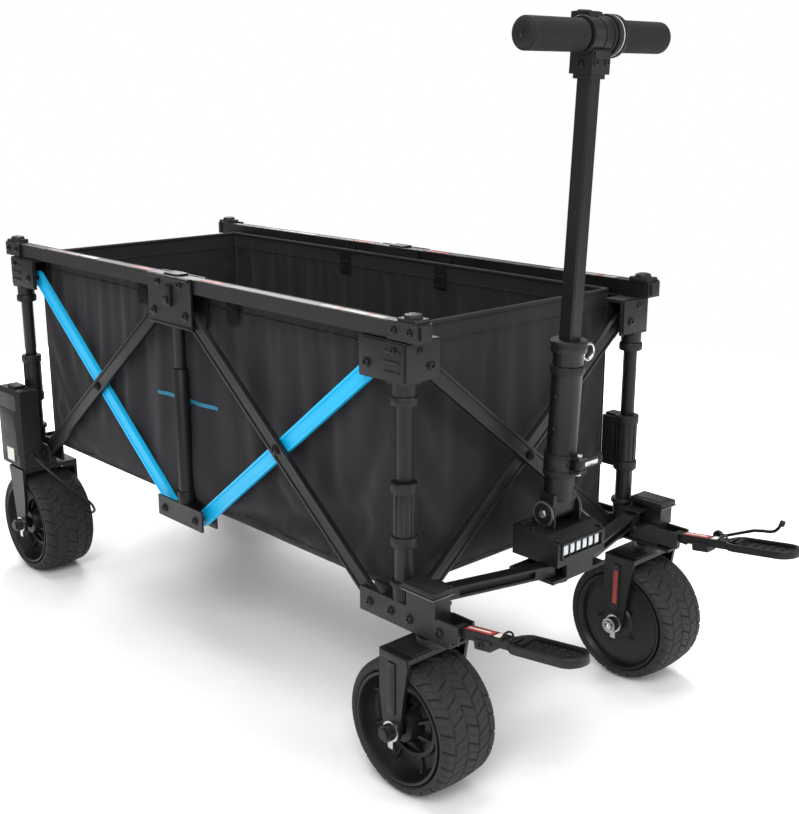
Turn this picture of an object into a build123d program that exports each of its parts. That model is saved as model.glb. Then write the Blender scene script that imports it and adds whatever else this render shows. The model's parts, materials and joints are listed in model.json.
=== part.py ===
from build123d import *
import math
import os

os.makedirs("parts", exist_ok=True)

# Folding beach cart, millimetres. +X is the pulling end, +Y the cart's left, +Z up, ground at z = 0.
# Layout is drawn about the middle of the basket, then moved by ORIGIN_SHIFT on export.

# ---- driving dimensions ----
ORIGIN_SHIFT = -117.86
BAY = 540.0
TRACK = 500.0
SPAN = 440.0
TOP_PIVOT_Z = 600.0
LOW_PIVOT_Z = 252.0
STRUT_WIDTH = 26.0
END_STRUT_WIDTH = 24.0
STRUT_THICK = 9.0
PIN_R = 4.0
PIN_FIT = 0.05
WALL = 4.0
POST_R = 13.5
ROD_R = 11.0
ROD_FIT = 0.1
HUB_POST_R = 12.5
HUB_ROD_R = 9.5
HUB_OFFSET = 46.0
HUB_REACH = 63.0
RAIL = 23.0
RAIL_Z = 649.5
RAIL_END = 572.0
RAIL_PIN_X = 32.0
WHEEL_R = 101.5
WHEEL_W = 102.0
TYRE_SHOULDER = 10.0
RIM_R = 82.0
RIM_LIP = 7.0
FORK_GAP = 2.0
FORK_THICK = 6.0
AXLE_R = 8.0
FRONT_WHEEL_X = 577.0
REAR_WHEEL_X = -522.0
SWIVEL_X = 594.0
BAR_PIVOT = (580.0, 225.0)
BLOCK_PIVOT = (628.0, 45.0)
BAR_Z = (272.0, 290.0)
HANDLE_X = 604.0
HANDLE_Z = 356.0
HANDLE_LEAN = 2.5
GRIP_Z = 667.0
GRIP_R = 21.5
GRIP_END_RIGHT = 136.0
GRIP_END_LEFT = 150.0
PEDAL_X = 650.0
PEDAL_Z = 258.0
PEDAL_RISE = 8.0
BASKET_X = 505.0
BASKET_Y = 228.0
BASKET_Z = 262.0
BASKET_TOP = 646.0
CLOTH = 3.0

LEAD_R = 2.6
LEAD_PATH = (
    (-491.45, -290, 250),
    (-470, -289, 246),
    (-446, -282, 230),
    (-426, -262, 206),
    (-414, -234, 176),
    (-417, -206, 146),
    (-438, -189, 122),
    (-468, -184, 108),
    (-509.8, -184, 101.5),
)

HALF = TRACK / 2
FORK_FACE = WHEEL_W / 2 + FORK_GAP
SIDE_OUT = SPAN + HUB_OFFSET
SIDE_IN = HUB_OFFSET
END_Y = SPAN / 2
STRUT_LENGTH = math.hypot(SPAN, TOP_PIVOT_Z - LOW_PIVOT_Z)
MID_Z = (TOP_PIVOT_Z + LOW_PIVOT_Z) / 2
BLACK_LAYER = (2.0, 2.0 + STRUT_THICK)
BLUE_LAYER = (1.0 - STRUT_THICK, 1.0)
HANDLE_PLACE = Location((HANDLE_X, 0, HANDLE_Z), (0, HANDLE_LEAN, 0))


def save(part, label, place=None):
    """Move a finished solid into the shared frame and write it."""
    if place is not None:
        part = part.moved(place)
    part = part.moved(Location((ORIGIN_SHIFT, 0, 0)))
    part.label = label
    export_step(part, f"parts/{label}.step")
    print(label, round(part.volume / 1000, 1), "cm3")


def slab(xs, ys, zs, mode=Mode.ADD):
    """Box between two x, two y and two z values, in any order."""
    centre = (sum(xs) / 2, sum(ys) / 2, sum(zs) / 2)
    with Locations(centre):
        Box(abs(xs[1] - xs[0]), abs(ys[1] - ys[0]), abs(zs[1] - zs[0]), mode=mode)


def rod(start, end, radius, mode=Mode.ADD):
    """Round bar from one point to another."""
    direction = Vector(*end) - Vector(*start)
    with BuildSketch(Plane(origin=start, z_dir=direction)) as section:
        Circle(radius)
    extrude(section.sketch, amount=direction.length, mode=mode)


def strut(start, end, normal, width, holes, pin_length=0.0):
    """Flat folded strut between two pivots, with a middle hole or a middle pin."""
    low = Vector(*start)
    high = Vector(*end)
    middle = (low + high) * 0.5
    along = high - low
    face = Plane(origin=middle, x_dir=along, z_dir=normal)
    with BuildPart() as bar:
        with BuildSketch(face):
            SlotCenterToCenter(along.length, width)
            with Locations(*[(along.length / 2 * k, 0) for k in holes]):
                Circle(PIN_R + PIN_FIT, mode=Mode.SUBTRACT)
        extrude(amount=STRUT_THICK)
        if pin_length > 0:
            with BuildSketch(face):
                Circle(PIN_R)
            extrude(amount=STRUT_THICK + pin_length)
    return bar.part


def side_struts(front, side, name):
    """The pair of crossed struts in one half of one side."""
    outward = (0, side, 0)
    y_blue = side * (HALF + BLUE_LAYER[0])
    y_black = side * (HALF + BLACK_LAYER[0])
    blue_low = (front * SIDE_IN, y_blue, LOW_PIVOT_Z)
    blue_top = (front * SIDE_OUT, y_blue, TOP_PIVOT_Z)
    black_low = (front * SIDE_OUT, y_black, LOW_PIVOT_Z)
    black_top = (front * SIDE_IN, y_black, TOP_PIVOT_Z)
    save(strut(blue_low, blue_top, outward, STRUT_WIDTH, (-1, 1), STRUT_THICK + 2), "blue_strut_" + name)
    save(strut(black_low, black_top, outward, STRUT_WIDTH, (-1, 0, 1)), "black_strut_" + name)


def end_struts(front, name):
    """The crossed struts across one end; the falling one starts high on the right."""
    outward = (front, 0, 0)
    x_outer = front * (BAY + BLACK_LAYER[0])
    x_inner = front * (BAY + BLUE_LAYER[0])
    fall = strut((x_outer, -END_Y, TOP_PIVOT_Z), (x_outer, END_Y, LOW_PIVOT_Z), outward, END_STRUT_WIDTH, (-1, 0, 1))
    rise = strut((x_inner, -END_Y, LOW_PIVOT_Z), (x_inner, END_Y, TOP_PIVOT_Z), outward, END_STRUT_WIDTH, (-1, 1), STRUT_THICK + 2)
    save(fall, name + "_strut_falling")
    save(rise, name + "_strut_rising")


def top_corner(front, side):
    """Moulded corner bracket with two clevis arms and the inner post rod."""
    x = front * BAY
    y = side * HALF
    with BuildPart() as corner:
        slab((x - 17, x + 17), (y - 17, y + 17), (578, 636))
        for offset in (14.0, -14.0):
            plate_y = y + side * offset
            slab((x, front * 468), (plate_y - 2, plate_y + 2), (580, 636))
            plate_x = x + front * (offset + 0.5)
            slab((plate_x - 2, plate_x + 2), (y, side * 200), (580, 636))
        slab((x, front * 468), (y - 16, y + 16), (631, 636))
        slab((x - 16.5, x + 16.5), (y, side * 200), (631, 636))
        rod((x, y, 548), (x, y, 580), 16)
        rod((x, y, 240), (x, y, 548), ROD_R)
        rod((front * SIDE_OUT, y - 14, TOP_PIVOT_Z), (front * SIDE_OUT, y + 14, TOP_PIVOT_Z), PIN_R)
        rod((x - 14, side * END_Y, TOP_PIVOT_Z), (x + 14, side * END_Y, TOP_PIVOT_Z), PIN_R)
    return corner.part


def lower_post(x, y, front, side):
    """Tube, sleeve, collar and strut pivots that every lower corner shares."""
    tip = 645 if front > 0 else 610
    for offset in (14.0, -14.0):
        plate_y = y + side * offset
        reach = front * (tip if offset > 0 else 560)
        slab((front * 465, reach), (plate_y - 2, plate_y + 2), (234, 270))
        plate_x = x + front * (offset + 0.5)
        slab((plate_x - 2, plate_x + 2), (y, side * 206), (234, 270))
    slab((front * 515, front * tip), (y - 16, y + 16), (234, 238))
    slab((x - 12.5, x + 12.5), (y - 14, y + 14), (234, 270))
    rod((x, y, 238), (x, y, 350), POST_R)
    rod((x, y, 270), (x, y, 298), 16)
    rod((x, y, 347), (x, y, 441), 16)
    rod((front * SIDE_OUT, y - 14, LOW_PIVOT_Z), (front * SIDE_OUT, y + 14, LOW_PIVOT_Z), PIN_R)
    rod((x - 14, side * END_Y, LOW_PIVOT_Z), (x + 14, side * END_Y, LOW_PIVOT_Z), PIN_R)


def front_corner(side):
    """Front lower bracket: post, swivel housing, crossbar lug and pedal ears."""
    x = BAY
    y = side * HALF
    bar_x = BAR_PIVOT[0]
    bar_y = side * BAR_PIVOT[1]
    with BuildPart() as corner:
        lower_post(x, y, 1, side)
        slab((566, 622), (y - 13, y + 13), (236, 271))
        slab((566, 622), (y - side * 9, y + side * 21), (270, 300))
        slab((566, 596), (side * 212, y), (266, 271))
        slab((566, 596), (side * 212, y), (291, 295))
        rod((bar_x, bar_y, 270), (bar_x, bar_y, 292), 5)
        for ear in (14.0, -14.0):
            ear_y = y + side * ear
            slab((620, 660), (ear_y - 2, ear_y + 2), (244, 270))
        rod((PEDAL_X, y - 14, PEDAL_Z), (PEDAL_X, y + 14, PEDAL_Z), 3)
        rod((SWIVEL_X, y, 230), (SWIVEL_X, y, 290), AXLE_R + PIN_FIT, Mode.SUBTRACT)
        rod((x, y, 239), (x, y, 442), ROD_R + ROD_FIT, Mode.SUBTRACT)
    return corner.part


def fork_legs(x, y, top, lean):
    """Bridge, two legs with rounded feet, and the fixed axle; lean points to the stem."""
    reach = FORK_FACE + FORK_THICK
    slab((x - lean * 24, x + lean * 34), (y - reach, y + reach), (top - 8, top))
    for face in (-reach, FORK_FACE):
        with BuildSketch(Plane(origin=(x, y + face + FORK_THICK, 0), z_dir=(0, -1, 0), x_dir=(1, 0, 0))) as outline:
            with BuildLine():
                Polyline(
                    (lean * 34, top),
                    (-lean * 24, top),
                    (-lean * 24, 158),
                    (-lean * 16, WHEEL_R),
                    (lean * 16, WHEEL_R),
                    (lean * 24, 158),
                    (lean * 34, top),
                )
            make_face()
            with Locations((0, WHEEL_R)):
                Circle(16)
        extrude(outline.sketch, amount=FORK_THICK)
    rod((x, y - reach - 17, WHEEL_R), (x, y + reach + 17, WHEEL_R), AXLE_R)
    for cap in (-1, 1):
        rod((x, y + cap * (reach - 1), WHEEL_R), (x, y + cap * (reach + 13), WHEEL_R), 12)


def caster_fork(side):
    """Swivelling fork with its stem and thrust ring."""
    y = side * HALF
    with BuildPart() as fork:
        fork_legs(FRONT_WHEEL_X, y, 220, 1)
        rod((SWIVEL_X, y, 219), (SWIVEL_X, y, 233.5), 20)
        rod((SWIVEL_X, y, 230), (SWIVEL_X, y, 288), AXLE_R)
    return fork.part


def rear_corner(side):
    """Rear lower bracket with its fixed wheel fork."""
    x = -BAY
    y = side * HALF
    with BuildPart() as corner:
        lower_post(x, y, -1, side)
        slab((-600, -500), (y - 16, y + 16), (218, 236))
        fork_legs(REAR_WHEEL_X, y, 220, -1)
        rod((x, y, 239), (x, y, 442), ROD_R + ROD_FIT, Mode.SUBTRACT)
    return corner.part


def tyre(x, side):
    """Wide balloon tyre with rounded shoulders."""
    y = side * HALF
    with BuildPart() as ring:
        rod((x, y - WHEEL_W / 2, WHEEL_R), (x, y + WHEEL_W / 2, WHEEL_R), WHEEL_R)
        fillet(ring.edges(), TYRE_SHOULDER)
        rod((x, y - WHEEL_W, WHEEL_R), (x, y + WHEEL_W, WHEEL_R), RIM_R, Mode.SUBTRACT)
    return ring.part


def rim(x, side):
    """Dished rim: barrel, web set inward, and a bored hub."""
    y = side * HALF
    edge = WHEEL_W / 2 - 3
    boss = WHEEL_W / 2 + 1
    with BuildPart() as hub:
        rod((x, y - edge, WHEEL_R), (x, y + edge, WHEEL_R), RIM_R - 0.1)
        rod((x, y + side * 22, WHEEL_R), (x, y + side * WHEEL_W, WHEEL_R), RIM_R - RIM_LIP, Mode.SUBTRACT)
        rod((x, y - boss, WHEEL_R), (x, y + boss, WHEEL_R), 22)
        rod((x, y - WHEEL_W, WHEEL_R), (x, y + WHEEL_W, WHEEL_R), AXLE_R + PIN_FIT, Mode.SUBTRACT)
    return hub.part


def battery_box():
    """Drive box on the right rear corner, with a bevelled top and lower edge."""
    with BuildPart() as box:
        slab((-580, -492), (-312, -266.6), (221, 380))
        chamfer(box.edges().group_by(Axis.Y)[0], 7)
    return box.part


def motor_lead():
    """Lead from the drive box, round the tyre's front, to the motor's axle end."""
    radii = []
    for before, here, after in zip(LEAD_PATH, LEAD_PATH[1:], LEAD_PATH[2:]):
        first = Vector(*here) - Vector(*before)
        second = Vector(*after) - Vector(*here)
        half_turn = math.radians(first.get_angle(second)) / 2
        radii.append(0.45 * min(first.length, second.length) / math.tan(half_turn))
    print("lead radii", [round(r, 1) for r in radii])
    with BuildPart() as lead:
        with BuildLine() as route:
            FilletPolyline(*LEAD_PATH, radius=radii)
        start = Vector(*LEAD_PATH[0])
        along = Vector(*LEAD_PATH[1]) - start
        with BuildSketch(Plane(origin=start, z_dir=along)):
            Circle(LEAD_R)
        sweep()
    length = sum(edge.length for edge in route.edges())
    print("lead length", round(length, 1))
    print("lead section times length", round(length * math.pi * LEAD_R**2, 1))
    print("lead volume", round(lead.part.volume, 1))
    return lead.part


def top_hub(side):
    """Upper centre bracket: two plates, the cross web, rail pins and the inner rod."""
    y = side * HALF
    with BuildPart() as hub:
        for offset in (14.0, -14.0):
            slab((-HUB_REACH, HUB_REACH), (y + offset - 2, y + offset + 2), (578, 662))
        slab((-16, 16), (y - 14, y + 14), (618, 622))
        rod((0, y, 262), (0, y, 620), HUB_ROD_R)
        for x in (-RAIL_PIN_X, RAIL_PIN_X):
            rod((x, y - 14, RAIL_Z), (x, y + 14, RAIL_Z), PIN_R)
        for x in (-SIDE_IN, SIDE_IN):
            rod((x, y - 14, TOP_PIVOT_Z), (x, y + 14, TOP_PIVOT_Z), PIN_R)
    return hub.part


def bottom_hub(side):
    """Lower centre bracket with the tube that guides the inner rod."""
    y = side * HALF
    with BuildPart() as hub:
        for offset in (14.0, -14.0):
            slab((-HUB_REACH - 3, HUB_REACH + 3), (y + offset - 2, y + offset + 2), (236, 272))
        slab((-24, 24), (y - 14, y + 14), (236, 240))
        slab((-14, 14), (y - 14, y + 14), (236, 272))
        rod((0, y, 240), (0, y, 505), HUB_POST_R)
        rod((0, y, 272), (0, y, 292), 15.5)
        for x in (-SIDE_IN, SIDE_IN):
            rod((x, y - 14, LOW_PIVOT_Z), (x, y + 14, LOW_PIVOT_Z), PIN_R)
        rod((0, y, 242), (0, y, 506), HUB_ROD_R + ROD_FIT, Mode.SUBTRACT)
    return hub.part


def rail(front, side):
    """Square half rail with its end plate, curved lip and corner knob."""
    y = side * HALF
    half = RAIL / 2
    with BuildPart() as tube:
        slab((front * 18, front * RAIL_END), (y - half, y + half), (RAIL_Z - half, RAIL_Z + half))
        slab((front * 17, front * (RAIL_END - 6)), (y - half + 2, y + half - 2), (RAIL_Z - half + 2, RAIL_Z + half - 2), Mode.SUBTRACT)
        slab((front * 24, front * 40), (y - half, y + half), (RAIL_Z - half, RAIL_Z + half))
        slab((front * 524, front * 576), (y + side * half, y + side * 16), (638, 664))
        slab((front * 570, front * 578), (y - side * 14, y + side * 16), (638, 662))
        slab((front * 540, front * 574), (y - 13, y + 13), (RAIL_Z + half, 668))
        rod((front * 557, y, 666), (front * 557, y, 673), 11)
        pin_x = front * RAIL_PIN_X
        rod((pin_x, y - 20, RAIL_Z), (pin_x, y + 20, RAIL_Z), PIN_R + PIN_FIT, Mode.SUBTRACT)
    return tube.part


def crossbar(side):
    """Channel link from a front corner to the centre block."""
    start = (BAR_PIVOT[0], side * BAR_PIVOT[1])
    end = (BLOCK_PIVOT[0], side * BLOCK_PIVOT[1])
    along = Vector(end[0] - start[0], end[1] - start[1], 0)
    middle = ((start[0] + end[0]) / 2, (start[1] + end[1]) / 2, BAR_Z[0])
    with BuildPart() as bar:
        with BuildSketch(Plane(origin=middle, x_dir=along, z_dir=(0, 0, 1))):
            SlotCenterToCenter(along.length, 22)
        extrude(amount=BAR_Z[1] - BAR_Z[0])
        with BuildSketch(Plane(origin=(middle[0], middle[1], BAR_Z[0] + 4), x_dir=along, z_dir=(0, 0, 1))):
            Rectangle(along.length - 60, 40)
        extrude(amount=BAR_Z[1] - BAR_Z[0] - 8, mode=Mode.SUBTRACT)
        with BuildSketch(Plane(origin=(middle[0], middle[1], BAR_Z[0] + 2), x_dir=along, z_dir=(0, 0, 1))):
            Rectangle(along.length - 50, 7)
        extrude(amount=BAR_Z[1] - BAR_Z[0] - 4)
        rod((start[0], start[1], 270), (start[0], start[1], 294), 5 + PIN_FIT, Mode.SUBTRACT)
        if side < 0:
            rod((end[0], end[1], 270), (end[0], end[1], 294), 5 + PIN_FIT, Mode.SUBTRACT)
        else:
            rod((end[0], end[1], 266.5), (end[0], end[1], 274), 4)
    return bar.part


def centre_block():
    """Lamp block on the crossbar, with the handle's hinge cheeks on top."""
    pin_x = BLOCK_PIVOT[0]
    pin_y = BLOCK_PIVOT[1]
    with BuildPart() as block:
        with BuildSketch(Plane(origin=(0, 54, 0), z_dir=(0, -1, 0), x_dir=(1, 0, 0))):
            with BuildLine():
                Polyline((566, 291), (652, 291), (652, 325), (630, 336), (566, 336), (566, 291))
            make_face()
        extrude(amount=108)
        slab((566, 650), (-60, 60), (266, 271))
        slab((566, 600), (-18, 18), (268, 300))
        slab((642, 650), (-30, 30), (268, 300))
        rod((pin_x, -pin_y, 268), (pin_x, -pin_y, 294), 5)
        slab((pin_x - 4.4, pin_x + 4.4), (pin_y - 31, pin_y + 5), (260, 275), Mode.SUBTRACT)
        slab((649, 656), (-44, 44), (302, 326), Mode.SUBTRACT)
        for y in (-31.0, 27.0):
            slab((HANDLE_X - 20, HANDLE_X + 20), (y, y + 4), (330, HANDLE_Z))
            rod((HANDLE_X, y, HANDLE_Z), (HANDLE_X, y + 4, HANDLE_Z), 20)
        rod((HANDLE_X, -33, HANDLE_Z), (HANDLE_X, 33, HANDLE_Z), 5)
        rod((HANDLE_X, 0, 246), (HANDLE_X, 0, 268), 20)
    return block.part


def handle_tube():
    """Lower handle tube about its own hinge: knuckle, square bore, collar and clamp ears."""
    with BuildPart() as tube:
        rod((0, 0, 18), (0, 0, 253), 22)
        slab((-13, 13), (-26, 26), (0, 30))
        rod((0, -26, 0), (0, 26, 0), 13)
        rod((0, 0, 240), (0, 0, 253), 26)
        rod((0, 0, 66), (0, 0, 90), 25)
        for z in (66.0, 86.0):
            slab((14, 40), (-9, 9), (z, z + 4))
        rod((33, 0, 66), (33, 0, 90), 3)
        rod((0, -30, 0), (0, 30, 0), 5 + PIN_FIT, Mode.SUBTRACT)
        slab((-12.1, 12.1), (-12.1, 12.1), (32, 260), Mode.SUBTRACT)
        rod((0, 10, 232), (0, 30, 232), 3 + PIN_FIT, Mode.SUBTRACT)
    return tube.part


def handle_pole():
    """Square upper pole with broken corners."""
    with BuildPart() as pole:
        slab((-12, 12), (-12, 12), (226, 636))
        chamfer(pole.edges().filter_by(Axis.Z), 2.5)
        rod((0, 6, 232), (0, 13, 232), 3.4, Mode.SUBTRACT)
        slab((-15, 15), (-15, 15), (612, 636))
    return pole.part


def handle_head():
    """Tee head: saddle, cross tube, central housing and throttle ring."""
    with BuildPart() as head:
        slab((-19, 19), (-19, 19), (618, 650))
        slab((-15.2, 15.2), (-15.2, 15.2), (600, 636.2), Mode.SUBTRACT)
        rod((0, -GRIP_END_RIGHT + 4, GRIP_Z), (0, GRIP_END_LEFT - 4, GRIP_Z), 11)
        rod((0, -24, GRIP_Z), (0, 24, GRIP_Z), 24)
        rod((0, 24.5, GRIP_Z), (0, 44, GRIP_Z), 27)
        rod((0, 20, GRIP_Z), (0, 30, GRIP_Z), 20)
        slab((-26, 4), (-14, 14), (GRIP_Z + 16, GRIP_Z + 30))
        for y in (26.0, 40.0):
            slab((-40, -20), (y, y + 3), (GRIP_Z - 4, GRIP_Z + 10))
        rod((-34, 26, GRIP_Z + 3), (-34, 43, GRIP_Z + 3), 2.5)
    return head.part


def grip(side):
    """Foam grip sleeve with a domed end."""
    inner = 25 if side < 0 else 45
    end = GRIP_END_RIGHT if side < 0 else GRIP_END_LEFT
    with BuildPart() as sleeve:
        rod((0, side * inner, GRIP_Z), (0, side * end, GRIP_Z), GRIP_R)
        fillet(sleeve.edges().filter_by(GeomType.CIRCLE), 3)
        rod((0, 0, GRIP_Z), (0, side * (end - 3), GRIP_Z), 11 + 0.1, Mode.SUBTRACT)
    return sleeve.part


def throttle_lever():
    """Thumb paddle hinged on the throttle ring."""
    with BuildPart() as lever:
        rod((-34, 29.5, GRIP_Z + 3), (-34, 39.5, GRIP_Z + 3), 6)
        slab((-38, -32), (29.5, 39.5), (GRIP_Z + 3, GRIP_Z + 30))
        slab((-40, -30), (27.5, 41.5), (GRIP_Z + 22, GRIP_Z + 32))
        rod((-34, 20, GRIP_Z + 3), (-34, 50, GRIP_Z + 3), 2.5 + PIN_FIT, Mode.SUBTRACT)
    return lever.part


def cam_lever():
    """Quick-release lever beside the tube."""
    with BuildPart() as lever:
        rod((33, 0, 70.4), (33, 0, 85.6), 7)
        slab((30, 37), (0, 44), (71, 85))
        rod((33.5, 44, 71), (33.5, 44, 85), 6)
        rod((33, 0, 60), (33, 0, 95), 3 + PIN_FIT, Mode.SUBTRACT)
    return lever.part


def pull_pin():
    """Height lock pin with its pull ring."""
    with BuildPart() as pin:
        rod((0, 12.6, 232), (0, 34, 232), 3)
        rod((0, 26.5, 232), (0, 31, 232), 6)
        with Locations(Location((0, 45, 232), (0, 90, 0))):
            Torus(12, 2)
    return pin.part


def pedal(side):
    """Brake pedal about its own hinge: arm, underside block, rimmed and pierced pad."""
    with BuildPart() as lever:
        rod((0, -11, 0), (0, 11, 0), 9)
        slab((0, 118), (-9, 9), (-5, 8))
        slab((34, 62), (-11, 11), (-14, 0))
        with BuildSketch(Plane(origin=(0, 0, -2))):
            with Locations((152, 0)):
                SlotCenterToCenter(72, 46)
            with Locations((112, 0)):
                Rectangle(30, 28)
        extrude(amount=10)
        with BuildSketch(Plane(origin=(0, 0, 4))):
            with Locations((154, 0)):
                SlotCenterToCenter(66, 36)
        extrude(amount=6, mode=Mode.SUBTRACT)
        with BuildSketch(Plane(origin=(0, 0, -3))):
            with Locations((154, 0)):
                with GridLocations(15, 12, 5, 3):
                    Circle(4.2)
        extrude(amount=12, mode=Mode.SUBTRACT)
        rod((0, -20, 0), (0, 20, 0), 3 + PIN_FIT, Mode.SUBTRACT)
        if side > 0:
            rod((58, 8, 3), (58, 31, 3), 3)
    return lever.part


def hook_lever():
    """Release hook beside the left pedal, curling up at its tip."""
    with BuildPart() as hook:
        with BuildSketch(Plane(origin=(0, 30, 0), z_dir=(0, -1, 0), x_dir=(1, 0, 0))):
            with BuildLine():
                Polyline((50, -5), (66, -5), (128, 16), (160, 17), (176, 38), (168, 42), (154, 27), (122, 26), (66, 11), (50, 11), (50, -5))
            make_face()
        extrude(amount=5)
        rod((58, 20, 3), (58, 40, 3), 3 + PIN_FIT, Mode.SUBTRACT)
    return hook.part


def basket_side(side):
    """Long fabric wall."""
    with BuildPart() as wall:
        slab((-BASKET_X, BASKET_X), (side * BASKET_Y, side * (BASKET_Y + CLOTH)), (BASKET_Z, BASKET_TOP))
    return wall.part


def basket_end(front):
    """Short fabric wall."""
    with BuildPart() as wall:
        slab((front * BASKET_X, front * (BASKET_X + CLOTH)), (-BASKET_Y + 0.3, BASKET_Y - 0.3), (BASKET_Z, BASKET_TOP))
    return wall.part


def basket_floor(side):
    """Half of the padded floor."""
    with BuildPart() as floor:
        slab((-BASKET_X + 0.5, BASKET_X - 0.5), (side * 0.3, side * (BASKET_Y - 0.4)), (BASKET_Z, BASKET_Z + 5))
    return floor.part


SIDES = (("right", -1), ("left", 1))
ENDS = (("front", 1), ("rear", -1))
for side_name, side in SIDES:
    for end_name, front in ENDS:
        corner_name = end_name + "_" + side_name
        side_struts(front, side, corner_name)
        save(top_corner(front, side), "top_corner_" + corner_name)
        save(rail(front, side), "rail_" + corner_name)
        wheel_x = FRONT_WHEEL_X if front > 0 else REAR_WHEEL_X
        save(tyre(wheel_x, side), "tyre_" + corner_name)
        save(rim(wheel_x, side), "rim_" + corner_name)
    save(front_corner(side), "lower_corner_front_" + side_name)
    save(rear_corner(side), "lower_corner_rear_" + side_name)
    save(caster_fork(side), "caster_fork_" + side_name)
    save(top_hub(side), "top_hub_" + side_name)
    save(bottom_hub(side), "bottom_hub_" + side_name)
    save(crossbar(side), "crossbar_" + side_name)
    save(grip(side), "grip_" + side_name, HANDLE_PLACE)
    pedal_place = Location((PEDAL_X, side * HALF, PEDAL_Z), (0, -PEDAL_RISE, 0))
    save(pedal(side), "pedal_" + side_name, pedal_place)
    save(basket_side(side), "basket_wall_" + side_name)
    save(basket_floor(side), "basket_floor_" + side_name)
for end_name, front in ENDS:
    end_struts(front, end_name)
    save(basket_end(front), "basket_wall_" + end_name)
save(hook_lever(), "hook_lever", Location((PEDAL_X, HALF, PEDAL_Z), (0, -PEDAL_RISE, 0)))
save(battery_box(), "battery_box")
save(motor_lead(), "motor_lead")
save(centre_block(), "centre_block")
save(handle_tube(), "handle_tube", HANDLE_PLACE)
save(handle_pole(), "handle_pole", HANDLE_PLACE)
save(handle_head(), "handle_head", HANDLE_PLACE)
save(throttle_lever(), "throttle_lever", HANDLE_PLACE)
save(cam_lever(), "cam_lever", HANDLE_PLACE)
save(pull_pin(), "pull_pin", HANDLE_PLACE)
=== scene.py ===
"""Looks for the folding beach cart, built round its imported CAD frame.

Shapes are drawn in millimetres in the cart's layout frame (x = 0 at the middle of the
basket) and moved into the row frame, in metres, when each piece is made.
"""

import json
import logging
import math
from dataclasses import dataclass
from enum import Enum
from typing import Callable, Dict, Iterable, List, Optional, Sequence, Tuple

import bmesh
import bpy
import numpy as np
from mathutils import Matrix, Vector, noise


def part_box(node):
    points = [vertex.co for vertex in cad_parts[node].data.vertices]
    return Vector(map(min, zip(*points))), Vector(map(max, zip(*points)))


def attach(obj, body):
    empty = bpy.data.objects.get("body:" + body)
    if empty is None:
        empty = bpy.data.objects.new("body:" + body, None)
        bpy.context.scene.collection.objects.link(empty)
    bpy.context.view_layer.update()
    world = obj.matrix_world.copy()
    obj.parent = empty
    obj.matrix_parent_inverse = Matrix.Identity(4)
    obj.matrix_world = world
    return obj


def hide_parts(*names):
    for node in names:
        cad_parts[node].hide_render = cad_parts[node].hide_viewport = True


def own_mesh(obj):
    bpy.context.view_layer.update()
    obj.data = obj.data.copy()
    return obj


LOG = logging.getLogger("beach_cart")
Point = Tuple[float, float, float]
SIDES: Tuple[Tuple[str, int], ...] = (("right", -1), ("left", 1))
ENDS: Tuple[Tuple[str, int], ...] = (("front", 1), ("rear", -1))
SENSOR_MM = 36.0
LENS_MM = 53.16855
CAMERA_TURN = 46.856
CAMERA_PITCH = 15.152
CAMERA_PLACE: Point = (1.6646, -1.3127, 0.9641)
FORK_FACE = 59.0


class Grain(Enum):
    """Surface patterns a finish can carry."""

    POWDER = "powder"
    MOULDED = "moulded"
    RUBBER = "rubber"
    FOAM = "foam"
    WEAVE = "weave"
    PLATED = "plated"
    LABEL = "label"
    LAMP = "lamp"
    FLOOR = "floor"


@dataclass(frozen=True)
class Finish:
    """One paint, moulding or cloth.

    Attributes:
        name: material name.
        colour: sRGB hex of the base.
        second: sRGB hex that the base drifts towards.
        rough: middle roughness.
        grain: surface pattern.
        grain_mm: size of the pattern.
        bump_mm: height of the pattern.
        metal: metallic value.
        coat: clear coat weight.
        sheen: cloth sheen weight.
        slot: record material slot it stands for; not used.
    """

    name: str
    colour: str
    second: str
    rough: float
    grain: Grain
    grain_mm: float
    bump_mm: float
    metal: float = 0.0
    coat: float = 0.0
    sheen: float = 0.0
    slot: str = "black_metal"


BLACK_PAINT = Finish("black_powder_coat", "#0a0a0b", "#111113", 0.42, Grain.POWDER, 0.9, 0.03, coat=0.05)
BLUE_PAINT = Finish(
    "blue_powder_coat", "#00b2e6", "#08a6da", 0.42, Grain.POWDER, 0.8, 0.02, coat=0.05, slot="blue_metal"
)
BLACK_PLASTIC = Finish(
    "black_moulding", "#090909", "#101011", 0.5, Grain.MOULDED, 0.7, 0.04, slot="black_plastic"
)
RIM_PLASTIC = Finish(
    "rim_moulding", "#0b0b0c", "#131314", 0.42, Grain.MOULDED, 0.9, 0.03, slot="black_plastic"
)
TYRE = Finish("tyre_rubber", "#1b1b1c", "#262627", 0.66, Grain.RUBBER, 1.4, 0.08, slot="tyre_rubber")
FOAM = Finish("grip_foam", "#131315", "#1d1d1f", 0.75, Grain.FOAM, 2.2, 0.35, slot="foam_grip")
CLOTH = Finish(
    "basket_cloth", "#131114", "#1c191e", 0.85, Grain.WEAVE, 0.9, 0.09, sheen=0.08, slot="basket_cloth"
)
WEBBING = Finish(
    "strap_webbing", "#0f0e10", "#1a181b", 0.78, Grain.WEAVE, 1.8, 0.25, sheen=0.05, slot="basket_cloth"
)
ZINC = Finish("zinc_plate", "#c9cacc", "#a7a9ad", 0.26, Grain.PLATED, 2.0, 0.015, metal=1.0, slot="zinc")
LEAD_JACKET = Finish("lead_jacket", "#101011", "#19191a", 0.42, Grain.RUBBER, 0.8, 0.02, slot="lead_jacket")
BRUSHED = Finish("brushed_edge", "#6d6f73", "#4a4b4e", 0.3, Grain.PLATED, 2.4, 0.015, metal=1.0, slot="zinc")
DARK_STEEL = Finish("black_steel", "#131315", "#222225", 0.34, Grain.PLATED, 1.6, 0.02, metal=0.6)
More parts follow.
